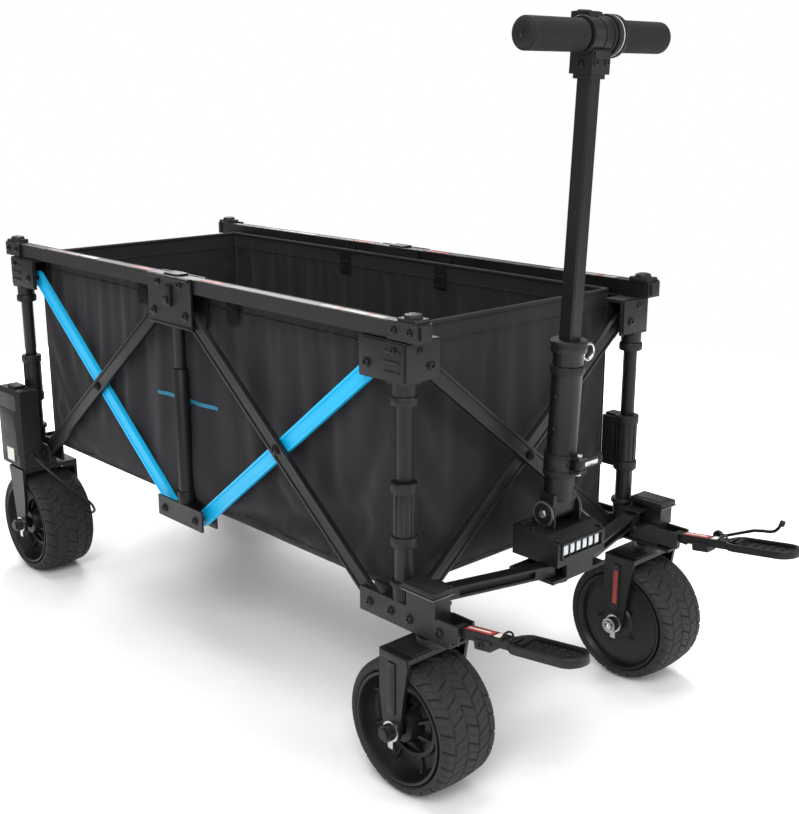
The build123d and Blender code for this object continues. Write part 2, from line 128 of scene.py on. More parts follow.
# Rail strip: print with red bars on a light grey base that is partly a painted reflection of the rail top's sheen.
PRINT_WITH_PAINTED_REFLECTION = Finish("strip_print_and_painted_reflection", "#9b9896", "#6f6c6a", 0.35, Grain.LABEL, 60.0, 0.0, slot="black_plastic")
LABEL_RED = Finish("label_red", "#8a2a2a", "#a8453f", 0.45, Grain.PLATED, 6.0, 0.01, slot="black_plastic")
LABEL_TEAL = Finish("label_teal", "#1f5f78", "#2b7790", 0.6, Grain.WEAVE, 0.9, 0.05, slot="basket_cloth")
PLAIN_LABEL = Finish("plain_label", "#dedbd6", "#c4beb6", 0.45, Grain.PLATED, 4.0, 0.01, slot="black_plastic")
LAMP = Finish("lamp_lens", "#d9dde0", "#aab0b5", 0.12, Grain.LAMP, 8.0, 0.05, slot="black_plastic")
FLOOR = Finish("studio_floor", "#f6f6f6", "#ffffff", 0.9, Grain.FLOOR, 400.0, 0.0)


def linear(hex_colour: str) -> Tuple[float, float, float, float]:
    """Turn an sRGB hex colour into linear RGBA.

    Args:
        hex_colour: six hex digits after a hash.

    Returns:
        Linear red, green, blue and an alpha of one.
    """
    channels = [int(hex_colour[i : i + 2], 16) / 255 for i in (1, 3, 5)]
    made = [c / 12.92 if c <= 0.04045 else ((c + 0.055) / 1.055) ** 2.4 for c in channels]
    return (made[0], made[1], made[2], 1.0)


class Painter:
    """Makes each finish's node material once."""

    def __init__(self) -> None:
        """Start with no materials made."""
        self.made: Dict[str, bpy.types.Material] = {}

    def get(self, finish: Finish) -> bpy.types.Material:
        """Return the material of a finish.

        Args:
            finish: what to paint.

        Returns:
            The node material.
        """
        if finish.name not in self.made:
            self.made[finish.name] = self._build(finish)
        return self.made[finish.name]

    def _add(
        self, tree: bpy.types.NodeTree, kind: str, inputs: Optional[dict] = None, **values
    ) -> bpy.types.Node:
        """Add one node, link or set its inputs, and set its plain properties."""
        node = tree.nodes.new(kind)
        for key, value in values.items():
            setattr(node, key, value)
        for key, value in (inputs or {}).items():
            if isinstance(value, bpy.types.NodeSocket):
                tree.links.new(value, node.inputs[key])
            else:
                node.inputs[key].default_value = value
        return node

    def _build(self, finish: Finish) -> bpy.types.Material:
        """Build the node tree of one finish."""
        material = bpy.data.materials.new(finish.name)
        material.use_nodes = True
        tree = material.node_tree
        tree.nodes.clear()
        out = self._add(tree, "ShaderNodeOutputMaterial")
        shade = self._add(
            tree, "ShaderNodeBsdfPrincipled", {"Metallic": finish.metal, "Coat Weight": finish.coat}
        )
        shade.inputs["Coat Roughness"].default_value = 0.25
        shade.inputs["Specular IOR Level"].default_value = 0.5 if finish.metal else 0.32
        shade.inputs["Sheen Weight"].default_value = finish.sheen
        tree.links.new(shade.outputs[0], out.inputs[0])
        place = self._add(tree, "ShaderNodeTexCoord").outputs["Object"]
        drift = self._add(
            tree, "ShaderNodeTexNoise", {"Vector": place, "Scale": 14.0, "Detail": 5.0, "Roughness": 0.6}
        )
        height = self._height(tree, place, finish)
        colour = self._colour(tree, place, drift, finish)
        tree.links.new(colour, shade.inputs["Base Color"])
        spread = self._add(
            tree, "ShaderNodeMapRange", {"Value": drift.outputs[0], "From Min": 0.3, "From Max": 0.7}
        )
        spread.inputs["To Min"].default_value = max(0.05, finish.rough - 0.06)
        spread.inputs["To Max"].default_value = min(1.0, finish.rough + 0.08)
        tree.links.new(spread.outputs[0], shade.inputs["Roughness"])
        if finish.grain is Grain.FLOOR:
            self._fade(tree, place, shade)
        if finish.bump_mm > 0:
            bump = self._add(
                tree, "ShaderNodeBump",
                {"Height": height, "Distance": finish.bump_mm / 1000, "Strength": 1.0}
            )
            tree.links.new(bump.outputs[0], shade.inputs["Normal"])
        return material

    def _fade(self, tree: bpy.types.NodeTree, place: bpy.types.NodeSocket, shade: bpy.types.Node) -> None:
        """Brighten the floor outwards, so that it runs into the pale backdrop."""
        far = self._add(tree, "ShaderNodeVectorMath", {0: place}, operation="LENGTH")
        rise = self._add(
            tree, "ShaderNodeMapRange", {"Value": far.outputs["Value"], "From Min": 0.9, "From Max": 2.6}
        )
        shade.inputs["Emission Color"].default_value = (1.0, 1.0, 1.0, 1.0)
        tree.links.new(rise.outputs[0], shade.inputs["Emission Strength"])

    def _height(
        self, tree: bpy.types.NodeTree, place: bpy.types.NodeSocket, finish: Finish
    ) -> bpy.types.NodeSocket:
        """Height pattern of a finish, from real sizes in millimetres."""
        scale = 1000.0 / finish.grain_mm
        if finish.grain is Grain.WEAVE:
            waves: List[bpy.types.NodeSocket] = []
            for direction in ("X", "Y", "Z"):
                wave = self._add(
                    tree, "ShaderNodeTexWave",
                    {"Vector": place, "Scale": scale / 6.5, "Distortion": 0.6, "Detail": 1.0},
                    bands_direction=direction
                )
                waves.append(wave.outputs["Fac"])
            first = self._add(tree, "ShaderNodeMath", operation="MULTIPLY")
            tree.links.new(waves[0], first.inputs[0])
            tree.links.new(waves[2], first.inputs[1])
            both = self._add(tree, "ShaderNodeMath", operation="ADD")
            tree.links.new(first.outputs[0], both.inputs[0])
            tree.links.new(waves[1], both.inputs[1])
            return both.outputs[0]
        if finish.grain in (Grain.FOAM, Grain.MOULDED):
            cells = self._add(tree, "ShaderNodeTexVoronoi", {"Vector": place, "Scale": scale})
            return cells.outputs["Distance"]
        detail = 8.0 if finish.grain is Grain.RUBBER else 3.0
        grit = self._add(tree, "ShaderNodeTexNoise", {"Vector": place, "Scale": scale, "Detail": detail})
        return grit.outputs[0]

    def _colour(
        self, tree: bpy.types.NodeTree, place: bpy.types.NodeSocket, drift: bpy.types.Node, finish: Finish
    ) -> bpy.types.NodeSocket:
        """Base colour with drift, edge wear or printed bars."""
        mix = self._add(tree, "ShaderNodeMix", data_type="RGBA")
        mix.inputs["A"].default_value = linear(finish.colour)
        mix.inputs["B"].default_value = linear(finish.second)
        tree.links.new(drift.outputs[0], mix.inputs["Factor"])
        # Label: red printed bars over the base colour; on the rail strip that base is partly a painted reflection.
        if finish.grain is Grain.LABEL:
            bars = self._add(
                tree, "ShaderNodeTexWave",
                {"Vector": place, "Scale": 1000 / finish.grain_mm / 3.2, "Distortion": 0.0},
                bands_direction="X", wave_profile="SAW"
            )
            step = self._add(tree, "ShaderNodeMath", {1: 0.84}, operation="GREATER_THAN")
            tree.links.new(bars.outputs["Fac"], step.inputs[0])
            print_mix = self._add(tree, "ShaderNodeMix", data_type="RGBA")
            print_mix.inputs["B"].default_value = linear("#8a3a36")
            tree.links.new(mix.outputs["Result"], print_mix.inputs["A"])
            tree.links.new(step.outputs[0], print_mix.inputs["Factor"])
            return print_mix.outputs["Result"]
        if finish.grain in (Grain.POWDER, Grain.MOULDED, Grain.RUBBER):
            edge = self._add(tree, "ShaderNodeNewGeometry").outputs["Pointiness"]
            wear = self._add(
                tree, "ShaderNodeMapRange",
                {"Value": edge, "From Min": 0.52, "From Max": 0.62, "To Max": 0.35}
            )
            worn = self._add(tree, "ShaderNodeMix", data_type="RGBA")
            lighter = "#3cc4f5" if "blue" in finish.name else "#2c2c30"
            worn.inputs["B"].default_value = linear(lighter)
            tree.links.new(mix.outputs["Result"], worn.inputs["A"])
            tree.links.new(wear.outputs[0], worn.inputs["Factor"])
            return worn.outputs["Result"]
        return mix.outputs["Result"]


class Layout:
    """Sizes and places of the cart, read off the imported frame."""

    def __init__(self) -> None:
        """Read the basket's middle, its half width and the handle's placement."""
        low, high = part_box("top_hub_right")
        self.shift: float = (low.x + high.x) / 2
        self.half: float = -(low.y + high.y) / 2 * 1000
        self.handle_place: Matrix = self._handle_place()

    def _handle_place(self) -> Matrix:
        """Placement of the handle's own frame, from its hinge pin and its lean."""
        joints = {j["name"]: j for j in self.joints()}
        hinge = Vector(joints["handle_tilt"]["pos_m"])
        axis = Vector(joints["handle_height"]["axis"])
        lean = math.atan2(axis.x, axis.z)
        return Matrix.Translation(hinge) @ Matrix.Rotation(lean, 4, "Y") @ Matrix.Scale(0.001, 4)

    @staticmethod
    def joints() -> List[dict]:
        """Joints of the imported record."""
        return FRAME["joints"]

    def matrix(self) -> Matrix:
        """Layout millimetres to row metres."""
        return Matrix.Translation((self.shift, 0, 0)) @ Matrix.Scale(0.001, 4)

    def wheel(self, corner: str) -> Tuple[float, float, float, float]:
        """Wheel centre and radius in layout millimetres.

        Args:
            corner: such as front_right.

        Returns:
            x, y, z and the radius.
        """
        low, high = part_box("tyre_" + corner)
        middle = (low + high) / 2
        return ((middle.x - self.shift) * 1000, middle.y * 1000, middle.z * 1000, (high.z - low.z) * 500)


class Forge:
    """Gathers bevelled solids into one mesh piece."""

    def __init__(self, matrix: Matrix) -> None:
        """Start empty.

        Args:
            matrix: turns the solids' millimetres into row metres.
        """
        self.matrix = matrix
        self.mesh = bmesh.new()

    def take(self, part: bmesh.types.BMesh, bevel: float, segments: int = 2) -> None:
        """Bevel the sharp edges of one solid and add it."""
        if bevel > 0:
            part.normal_update()
            edges = [e for e in part.edges if len(e.link_faces) == 2 and e.calc_face_angle(0) > 0.5]
            bmesh.ops.bevel(
                part, geom=edges, offset=bevel, segments=segments, profile=0.6, affect="EDGES",
                clamp_overlap=True
            )
        part.transform(self.matrix)
        holder = bpy.data.meshes.new("holder")
        part.to_mesh(holder)
        part.free()
        self.mesh.from_mesh(holder)
        bpy.data.meshes.remove(holder)

    def block(self, low: Point, high: Point, bevel: float = 1.0, turn: Optional[Matrix] = None) -> None:
        """Add a box between two corners.

        Args:
            low: one corner in millimetres.
            high: the opposite corner.
            bevel: edge radius.
            turn: extra placement applied to the box.
        """
        part = bmesh.new()
        size = Vector([abs(b - a) for a, b in zip(low, high)])
        middle = (Vector(low) + Vector(high)) / 2
        place = Matrix.Translation(middle) @ Matrix.Diagonal((*size, 1))
        bmesh.ops.create_cube(part, size=1, matrix=place)
        if turn is not None:
            part.transform(turn)
        self.take(part, bevel)

    def prism(
        self, outline: Sequence[Tuple[float, float]], origin: Point, u: Point, v: Point, depth: float,
        bevel: float = 0.8
    ) -> None:
        """Add an outline pushed along the normal of its plane.

        Args:
            outline: corners in plane millimetres.
            origin: plane origin.
            u: first plane axis.
            v: second plane axis.
            depth: distance pushed along u x v.
            bevel: edge radius.
        """
        part = bmesh.new()
        u_axis, v_axis, start = Vector(u), Vector(v), Vector(origin)
        normal = u_axis.cross(v_axis).normalized() * depth
        bottom = [part.verts.new(start + u_axis * a + v_axis * b) for a, b in outline]
        top = [part.verts.new(w.co + normal) for w in bottom]
        part.faces.new(list(reversed(bottom)))
        part.faces.new(top)
        count = len(outline)
        for i in range(count):
            k = (i + 1) % count
            part.faces.new((bottom[i], bottom[k], top[k], top[i]))
        bmesh.ops.recalc_face_normals(part, faces=part.faces)
        self.take(part, bevel)

    def lathe(
        self, profile: Sequence[Tuple[float, float]], origin: Point, axis: Point, segments: int = 48,
        bevel: float = 0.0
    ) -> None:
        """Spin a closed profile about an axis.

        Args:
            profile: (along, radius) pairs; a radius of zero closes on the axis.
            origin: point on the axis.
            axis: direction of the axis.
            segments: steps round the axis.
            bevel: edge radius, or zero.
        """
        part = bmesh.new()
        turn = Vector((0, 0, 1)).rotation_difference(Vector(axis)).to_matrix().to_4x4()
        place = Matrix.Translation(origin) @ turn
        rings: List[List[bmesh.types.BMVert]] = []
        for along, radius in profile:
            if radius < 1e-6:
                rings.append([part.verts.new(place @ Vector((0, 0, along)))])
                continue
            ring = []
            for i in range(segments):
                angle = math.tau * i / segments
                ring.append(
                    part.verts.new(
                        place @ Vector((radius * math.cos(angle), radius * math.sin(angle), along))
                    )
                )
            rings.append(ring)
        for first, second in zip(rings, rings[1:]):
            for i in range(segments):
                k = (i + 1) % segments
                corners = [
                    first[i % len(first)], first[k % len(first)], second[k % len(second)],
                    second[i % len(second)]
                ]
                unique = list(dict.fromkeys(corners))
                if len(unique) > 2:
                    part.faces.new(unique)
        bmesh.ops.recalc_face_normals(part, faces=part.faces)
        self.take(part, bevel)

    def tube(self, path: Sequence[Point], radius: float, sides: int = 12, closed: bool = False) -> None:
        """Sweep a round section along points.

        Args:
            path: centre line in millimetres.
            radius: section radius.
            sides: steps round the section.
            closed: whether the path is a loop.
        """
        part = bmesh.new()
        points = [Vector(p) for p in path]
        count = len(points)
        rings = []
        side = None
        for i, point in enumerate(points):
            before = points[i - 1] if (closed or i > 0) else point
            after = points[(i + 1) % count] if (closed or i < count - 1) else point
            along = (after - before).normalized()
            if side is None:
                side = along.orthogonal().normalized()
            side = (side - along * side.dot(along)).normalized()
            other = along.cross(side)
            rings.append(
                [
                    part.verts.new(
                        point + side * radius * math.cos(math.tau * k / sides)
                        + other * radius * math.sin(math.tau * k / sides)
                    )
                    for k in range(sides)
                ]
            )
        last = count if closed else count - 1
        for i in range(last):
            first, second = rings[i], rings[(i + 1) % count]
            for k in range(sides):
                n = (k + 1) % sides
                part.faces.new((first[k], first[n], second[n], second[k]))
        if not closed:
            part.faces.new(list(reversed(rings[0])))
            part.faces.new(rings[-1])
        self.take(part, 0)

    def bolt(self, origin: Point, axis: Point, radius: float = 5.5, height: float = 3.4) -> None:
        """Button-head bolt with a washer and a hex socket.

        Args:
            origin: point on the surface.
            axis: outward direction.
            radius: head radius.
            height: head height.
        """
        washer = [(0, 0), (0, radius * 1.35), (0.9, radius * 1.35), (1.1, radius * 1.25), (1.1, 0)]
        self.lathe(washer, origin, axis, 28)
        head = [
            (1.0, 0), (1.0, radius), (height * 0.45 + 1, radius), (height * 0.85 + 1, radius * 0.8),
            (height + 1, radius * 0.5), (height + 1, radius * 0.42), (height - 0.8, radius * 0.4),
            (height - 0.8, 0)
        ]
        self.lathe(head, origin, axis, 28)

    def nut(self, origin: Point, axis: Point, radius: float = 8.0, height: float = 7.0) -> None:
        """Dome nut on a round washer.

        Args:
            origin: point on the surface.
            axis: outward direction.
            radius: across-corners radius.
            height: nut height.
        """
        self.lathe(
            [(0, 0), (0, radius * 1.45), (1.4, radius * 1.45), (1.6, radius * 1.3), (1.6, 0)], origin, axis,
            32
        )
        self.lathe([(1.5, 0), (1.5, radius), (height, radius), (height, 0)], origin, axis, 6, bevel=0.5)
        self.lathe(
            [
                (height, 0), (height, radius * 0.72), (height + 3, radius * 0.6),
                (height + 5, radius * 0.3), (height + 5.4, 0)
            ],
            origin, axis, 24
        )

    def piece(
        self, name: str, finish: Finish, body: str, replaces: Iterable[str] = (), smooth: float = 38.0
    ) -> bpy.types.Object:
        """Turn what was gathered into an object that rides on a body.

        Args:
            name: object name.
            finish: its finish.
            body: body it rides on.
            replaces: CAD nodes it stands for.
            smooth: angle above which edges stay sharp.

        Returns:
            The object.
        """
        data = bpy.data.meshes.new(name)
        self.mesh.to_mesh(data)
        self.mesh.free()
        return make_piece(name, data, finish, body, replaces, smooth)


def make_piece(
    name: str, data: bpy.types.Mesh, finish: Finish, body: Optional[str], replaces: Iterable[str] = (),
    smooth: float = 38.0
) -> bpy.types.Object:
    """Wrap a mesh as a finished piece.

    Args:
        name: object name.
        data: its mesh, in the row frame.
        finish: its finish.
        body: body it rides on, or none yet.
        replaces: CAD nodes it stands for.
        smooth: angle above which edges stay sharp.

    Returns:
        The object.
    """
    for polygon in data.polygons:
        polygon.use_smooth = True
    data.set_sharp_from_angle(angle=math.radians(smooth))
    obj = bpy.data.objects.new(name, data)
    bpy.context.scene.collection.objects.link(obj)
    data.materials.append(PAINTER.get(finish))
    if body is not None:
        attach(obj, body)
    if replaces:
        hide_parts(*replaces)
    return obj


def grid_mesh(
    name: str, rows: int, columns: int, place: Callable[[float, float], Point], matrix: Matrix,
    thick: float = 0.0
) -> bpy.types.Mesh:
    """Sheet of quads from a function of two shares.

    Args:
        name: mesh name.
        rows: steps along the second share.
        columns: steps along the first share.
        place: gives a point in millimetres for shares (u, v).
        matrix: millimetres to metres.
        thick: back sheet distance in millimetres, or zero for one sheet.

    Returns:
        The mesh.
    """
    made = bmesh.new()
    verts = [
        [made.verts.new(place(c / columns, r / rows)) for c in range(columns + 1)] for r in range(rows + 1)
    ]
    for r in range(rows):
        for c in range(columns):
            made.faces.new((verts[r][c], verts[r][c + 1], verts[r + 1][c + 1], verts[r + 1][c]))
    if thick:
        bmesh.ops.solidify(made, geom=list(made.faces), thickness=thick)
    made.transform(matrix)
    data = bpy.data.meshes.new(name)
    made.to_mesh(data)
    made.free()
    return data


@dataclass
class Wheels:
    """Tyres with block tread, ribbed rims and axle hardware."""

    layout: Layout
    tread_pitch: float = 27.0
    groove: float = 2.6
    depth: float = 2.4

    def build(self) -> None:
        """Build the four wheels."""
        for end, _ in ENDS:
            for side, sign in SIDES:
                corner = f"{end}_{side}"
                x, y, z, radius = self.layout.wheel(corner)
                self._tyre(corner, x, y, z, radius)
                self._rim(corner, x, y, z, sign)
                self._axle(end, side, x, y, z, sign)

    def _tyre(self, corner: str, x: float, y: float, z: float, radius: float) -> None:
        """Tread surface with staggered blocks cut by grooves."""
        around = 520
        low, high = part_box("tyre_" + corner)
        half = (high.y - low.y) * 500 - 0.1
        seat = self._seat(corner)
        section: List[Tuple[float, float, float]] = []
        shoulder = 11.0
        flat = half - shoulder
        count = 62
        for i in range(count + 1):
            v = -flat + 2 * flat * i / count
            crown = 2.6 * (v / flat) ** 2
            section.append((v, radius - 0.3 - crown, v))
        steps = 18
        right: List[Tuple[float, float, float]] = []
        for i in range(1, steps + 1):
            angle = math.pi / 2 * i / steps
            right.append(
                (
                    flat + shoulder * math.sin(angle),
                    radius - 2.9 - shoulder * 0.95 * (1 - math.cos(angle)), flat + shoulder * angle
                )
            )
        wall = [
            (half, seat + 4.5, 0.0), (half - 1.5, seat + 2.5, 0.0), (half - 4, seat + 1.2, 0.0),
            (half - 8, seat + 0.2, 0.0)
        ]
        outer = right + [(a, r, 1e3) for a, r, _ in wall]
        section = [(-a, r, -s) for a, r, s in reversed(outer)] + section + outer
        axial = np.array([s[0] for s in section])
        base = np.array([s[1] for s in section])
        across = np.array([s[2] for s in section])
        theta = np.linspace(0, math.tau, around, endpoint=False)
        pitches = round(math.tau * radius / self.tread_pitch)
        u = theta[:, None] * pitches / math.tau
        v = across[None, :]
        column_width = 22.0
        index = np.floor((v + column_width / 2) / column_width)
        inside = (v + column_width / 2) / column_width - index - 0.5
        zigzag = 1.5 * np.abs(((u * 2) % 2) - 1) - 0.75
        circ = np.abs(np.abs(inside) - 0.5) * column_width
        circ = np.abs(circ - zigzag * 0.6)
        slant = 0.42 * inside * np.where(index % 2 == 0, 1, -1)
        phase = u + 0.5 * (index % 2) + slant
        lateral = np.abs(phase - np.round(phase)) * self.tread_pitch
        sipe = np.abs(
            (phase + 0.5) - np.round(phase + 0.5)
        ) * self.tread_pitch + np.where(np.abs(inside) > 0.3, 9, 0)
        cut = np.clip(1.25 - np.minimum(circ, lateral) / (self.groove / 2), 0, 1) * self.depth
        fine = np.clip(1.2 - sipe / 0.8, 0, 1) * 1.1
        on_tread = (np.abs(v) < flat + shoulder * 1.25).astype(float)
        drop = np.maximum(cut, fine) * on_tread
        rr = base[None, :] - drop
        px = x + rr * np.cos(theta)[:, None]
        pz = z + rr * np.sin(theta)[:, None]
        py = y + np.broadcast_to(
            axial[None, :], rr.shape
        ) - np.sign(axial)[None, :] * drop * (np.abs(axial) > flat)[None, :] * 0.6
        points = np.stack([px, py, pz], -1).reshape(-1, 3)
        m = len(section)
        a = np.arange(around)[:, None] * m + np.arange(m - 1)[None, :]
        b = ((np.arange(around) + 1) % around)[:, None] * m + np.arange(m - 1)[None, :]
        quads = np.stack([a, b, b + 1, a + 1], -1).reshape(-1, 4)
        matrix = self.layout.matrix()
        points = points * 0.001 + np.array(matrix.translation)
        data = bpy.data.meshes.new("tyre_tread_" + corner)
        data.from_pydata(points.tolist(), [], quads.tolist())
        data.update()
        make_piece("tyre_tread_" + corner, data, TYRE, "wheel_" + corner, ["tyre_" + corner], smooth=28.0)

    @staticmethod
    def _seat(corner: str) -> float:
        """Radius of the rim under a tyre, in millimetres."""
        low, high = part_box("rim_" + corner)
        return (high.z - low.z) * 500

    def _rim(self, corner: str, x: float, y: float, z: float, sign: int) -> None:
        """Dished face with ribs outside, motor or hub cover inside."""
        forge = Forge(self.layout.matrix())
        out = (0, sign, 0)
        seat = self._seat(corner)
        low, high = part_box("rim_" + corner)
        edge = (high.y - low.y) * 500 - 4.0
        rim_face = [
            (-edge, seat), (edge, seat), (edge + 2.4, seat - 0.6), (edge + 3.2, seat - 2.6),
            (edge + 2.2, seat - 4.6), (edge - 5, seat - 7.0)
        ]
        dish = [
            (26, seat - 9.5), (21, seat - 14), (16, 34), (20, 27), (34, 24.5), (42, 22), (42, 12), (-20, 12)
        ]
        forge.lathe(rim_face + dish, (x, y, z), out, 120)
        cover = [
            (20, seat - 20), (-edge, seat), (-edge - 2.4, seat - 0.6), (-edge - 3.2, seat - 2.6),
            (-edge - 1, seat - 5), (-edge + 4, seat - 8)
        ]
        plate = [
            (-edge + 3, seat - 14), (-edge, seat - 18), (-edge, 30), (-edge - 3, 27), (-edge - 4, 12),
            (-20, 12)
        ]
        forge.lathe(cover + plate, (x, y, z), out, 120)
        forge.lathe([(19, 52), (23.5, 51), (23.5, 45), (19, 44)], (x, y, z), out, 96)
        for i in range(8):
            angle = math.tau * (i + 0.5) / 8
            turn = Matrix.Translation((x, y, z)) @ Matrix.Rotation(
                angle, 4, "Y"
            ) @ Matrix.Translation((-x, -y, -z))
            rib = [(24, 12), (seat - 10, 18), (seat - 9, 29), (seat - 20, 23.5), (44, 21), (26, 31)]
            outline = [(a, b * sign) for a, b in rib]
            if sign < 0:
                outline.reverse()
            part_origin = (x, y, z - 2.2)
            self._rib(forge, outline, part_origin, turn)
        forge.piece("rim_" + corner + "_look", RIM_PLASTIC, "wheel_" + corner, ["rim_" + corner])
        studs = Forge(self.layout.matrix())
        for i in range(5):
            angle = math.tau * (i + 0.5) / 5
            studs.bolt(
                (x + 36 * math.cos(angle), y - sign * edge, z + 36 * math.sin(angle)), (0, -sign, 0), 3.6,
                2.0
            )
        studs.piece("rim_screws_" + corner, DARK_STEEL, "wheel_" + corner)

    @staticmethod
    def _rib(forge: Forge, outline: Sequence[Tuple[float, float]], origin: Point, turn: Matrix) -> None:
        """One radial rib, turned about the wheel's axle."""
        part = bmesh.new()
        start = Vector(origin)
        bottom = [part.verts.new(start + Vector((a, b, 0))) for a, b in outline]
        top = [part.verts.new(v.co + Vector((0, 0, 4.4))) for v in bottom]
        part.faces.new(list(reversed(bottom)))
        part.faces.new(top)
        count = len(outline)
        for i in range(count):
            k = (i + 1) % count
            part.faces.new((bottom[i], bottom[k], top[k], top[i]))
        bmesh.ops.recalc_face_normals(part, faces=part.faces)
        part.transform(turn)
        forge.take(part, 0.8)

    def _axle(self, end: str, side: str, x: float, y: float, z: float, sign: int) -> None:
        """Nut, tab washer and cap outside the fork legs."""
        body = f"caster_{side}" if end == "front" else f"lower_corner_rear_{side}"
        zinc = Forge(self.layout.matrix())
        outer = y + sign * 59.2
        inner = y - sign * 59.2
        washer = [(0, 0), (0, 15), (1.6, 15), (1.9, 14), (1.9, 0)]
        zinc.lathe(washer, (x, outer, z), (0, sign, 0), 40)
        zinc.lathe(washer, (x, inner, z), (0, -sign, 0), 40)
        zinc.block((x - 5, outer, z - 26), (x + 5, outer + sign * 1.8, z - 4), 0.6)
        zinc.block((x - 5, inner, z - 26), (x + 5, inner - sign * 1.8, z - 4), 0.6)
        zinc.nut((x, inner - sign * 13, z), (0, -sign, 0), 8.5, 4.5)
        zinc.piece(f"axle_washers_{end}_{side}", ZINC, body)


@dataclass
class Basket:
    """Cloth basket: one sewn shell that hangs from the rails, with hems, straps and a floor.

    The walls come from one closed run of cloth, so that they meet at the corner seams.
    """

    layout: Layout
    reach_x: float = 505.0
    reach_y: float = 228.0
    low: float = 262.0
    high: float = 642.0
    step: float = 13.0
    spare: float = 0.022
    keep_long: float = 0.44
    keep_short: float = 0.395

    def build(self) -> None:
        """Build the walls, the hems, the floor and the straps."""
        counts = [round(2 * self.reach_x / self.step), round(2 * self.reach_y / self.step)] * 2
        rows = round((self.high - self.low) / self.step)
        shell = self._shell(counts, rows)
        start = 0
        names = ("right", "front", "left", "rear")
        for name, count in zip(names, counts):
            stop = start + count
            columns = [c % sum(counts) for c in range(start, stop + 1)]
            self._wall(name, shell[:, columns])
            start = stop
        for side, sign in SIDES:
            self._floor(side, sign)
            for end, front in ENDS:
                self._straps(end, front, side, sign)

    def _outline(self, counts: Sequence[int]) -> np.ndarray:
        """Points round the basket's plan, one for each column of the cloth."""
        corners = [
            (-self.reach_x, -self.reach_y), (self.reach_x, -self.reach_y), (self.reach_x, self.reach_y),
            (-self.reach_x, self.reach_y)
        ]
        points: List[Tuple[float, float]] = []
        for k, count in enumerate(counts):
            a, b = corners[k], corners[(k + 1) % 4]
            points += [
                (a[0] + (b[0] - a[0]) * i / count, a[1] + (b[1] - a[1]) * i / count) for i in range(count)
            ]
        return np.array(points)

    def _shell(self, counts: Sequence[int], rows: int) -> np.ndarray:
        """Cloth points, rows by columns, hung between the hem and the floor edge."""
        plan = self._outline(counts)
        columns = len(plan)
        flat = np.zeros((rows + 1, columns, 3))
        normal = np.zeros((columns, 2))
        corners = np.cumsum([0, *counts])[:4]
        for k, (start, count) in enumerate(zip(corners, counts)):
            normal[start : start + count] = ((0, -1), (1, 0), (0, 1), (-1, 0))[k]
        near = np.min(
            np.abs((np.arange(columns)[:, None] - corners[None, :] + columns / 2) % columns - columns / 2),
            axis=1
        )
        free = np.clip(near / 4.0, 0, 1)
        for r in range(rows + 1):
            share = r / rows
            flat[r, :, :2] = plan
            flat[r, :, 2] = self.low + (self.high - self.low) * share
            belly = math.sin(math.pi * share) ** 0.8
            for c in range(columns):
                spot = Vector((flat[r, c, 0] * 0.006, flat[r, c, 1] * 0.006, flat[r, c, 2] * 0.009))
                wave = noise.noise(spot) * 6.0 + noise.noise(spot * 2.7 + Vector((5, 1, 3))) * 3.0 + 2.0
                flat[r, c, :2] += normal[c] * wave * belly * free[c]
        return self._hang(flat, free)

    def _hang(self, flat: np.ndarray, free: np.ndarray) -> np.ndarray:
        """Let the cloth settle with a little spare width, and cap how far it moves."""
        rows, columns = flat.shape[0] - 1, flat.shape[1]
        data = bpy.data.meshes.new("hang")
        quads = [
            (
                r * columns + c, r * columns + (c + 1) % columns, (r + 1) * columns + (c + 1) % columns,
                (r + 1) * columns + c
            )
            for r in range(rows)
            for c in range(columns)
        ]
        data.from_pydata((flat.reshape(-1, 3) * 0.001).tolist(), [], quads)
        obj = bpy.data.objects.new("hang", data)
        bpy.context.scene.collection.objects.link(obj)
        pins = obj.vertex_groups.new(name="pins")
        for r in range(rows + 1):
            for c in range(columns):
                hold = 1.0 if r in (0, rows) or r == rows - 1 else max(0.0, 1.0 - 1.6 * float(free[c]))
                pins.add([r * columns + c], hold, "REPLACE")
        cloth = obj.modifiers.new("cloth", "CLOTH")
        cloth.settings.quality = 6
        cloth.settings.mass = 0.35
        cloth.settings.tension_stiffness = 25
        cloth.settings.compression_stiffness = 25
        cloth.settings.shear_stiffness = 8
        cloth.settings.bending_stiffness = 0.6
        cloth.settings.shrink_min = -self.spare
        cloth.settings.vertex_group_mass = "pins"
        cloth.collision_settings.use_collision = False
        scene = bpy.context.scene
        for frame in range(1, 26):
            scene.frame_set(frame)
        made = obj.evaluated_get(bpy.context.evaluated_depsgraph_get()).to_mesh()
        points = np.array([v.co for v in made.vertices]).reshape(rows + 1, columns, 3) * 1000
        obj.evaluated_get(bpy.context.evaluated_depsgraph_get()).to_mesh_clear()
        scene.frame_set(1)
        bpy.data.objects.remove(obj)
        move = np.clip(np.nan_to_num(points - flat), -11.0, 11.0)
        return flat + move

    def _wall(self, name: str, points: np.ndarray) -> None:
        """One side of the shell with its hem, as pieces that ride on a body of the frame."""
        matrix = self.layout.matrix()
        rows, columns = points.shape[0] - 1, points.shape[1] - 1
        data = grid_mesh(
            "basket_" + name, rows, columns, lambda u,
            v: tuple(points[round(v * rows), round(u * columns)]), matrix
        )
        long = name in ("right", "left")
        body = "top_hub_" + name if long else f"top_corner_{name}_right"
        obj = make_piece("basket_" + name, data, CLOTH, body, ["basket_wall_" + name], smooth=80.0)
        self._thicken(obj, 1.3)
        hem = Forge(matrix)
        top = [tuple(p) for p in points[-1]]
        hem.tube([(p[0], p[1], p[2] + 1.5) for p in top], 3.4, 10)
        self._seam(hem, points[-3])
        self._seam(hem, points[1])
        edge = points[:, 0]
        hem.tube([tuple(p) for p in edge], 2.2, 8)
        edging = hem.piece("basket_hem_" + name, WEBBING, body)
        extras = [edging]
        if name == "right":
            extras.append(self._bar(points))
            self._thicken(extras[-1], 0.6)
        for piece in (obj, *extras):
            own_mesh(piece)

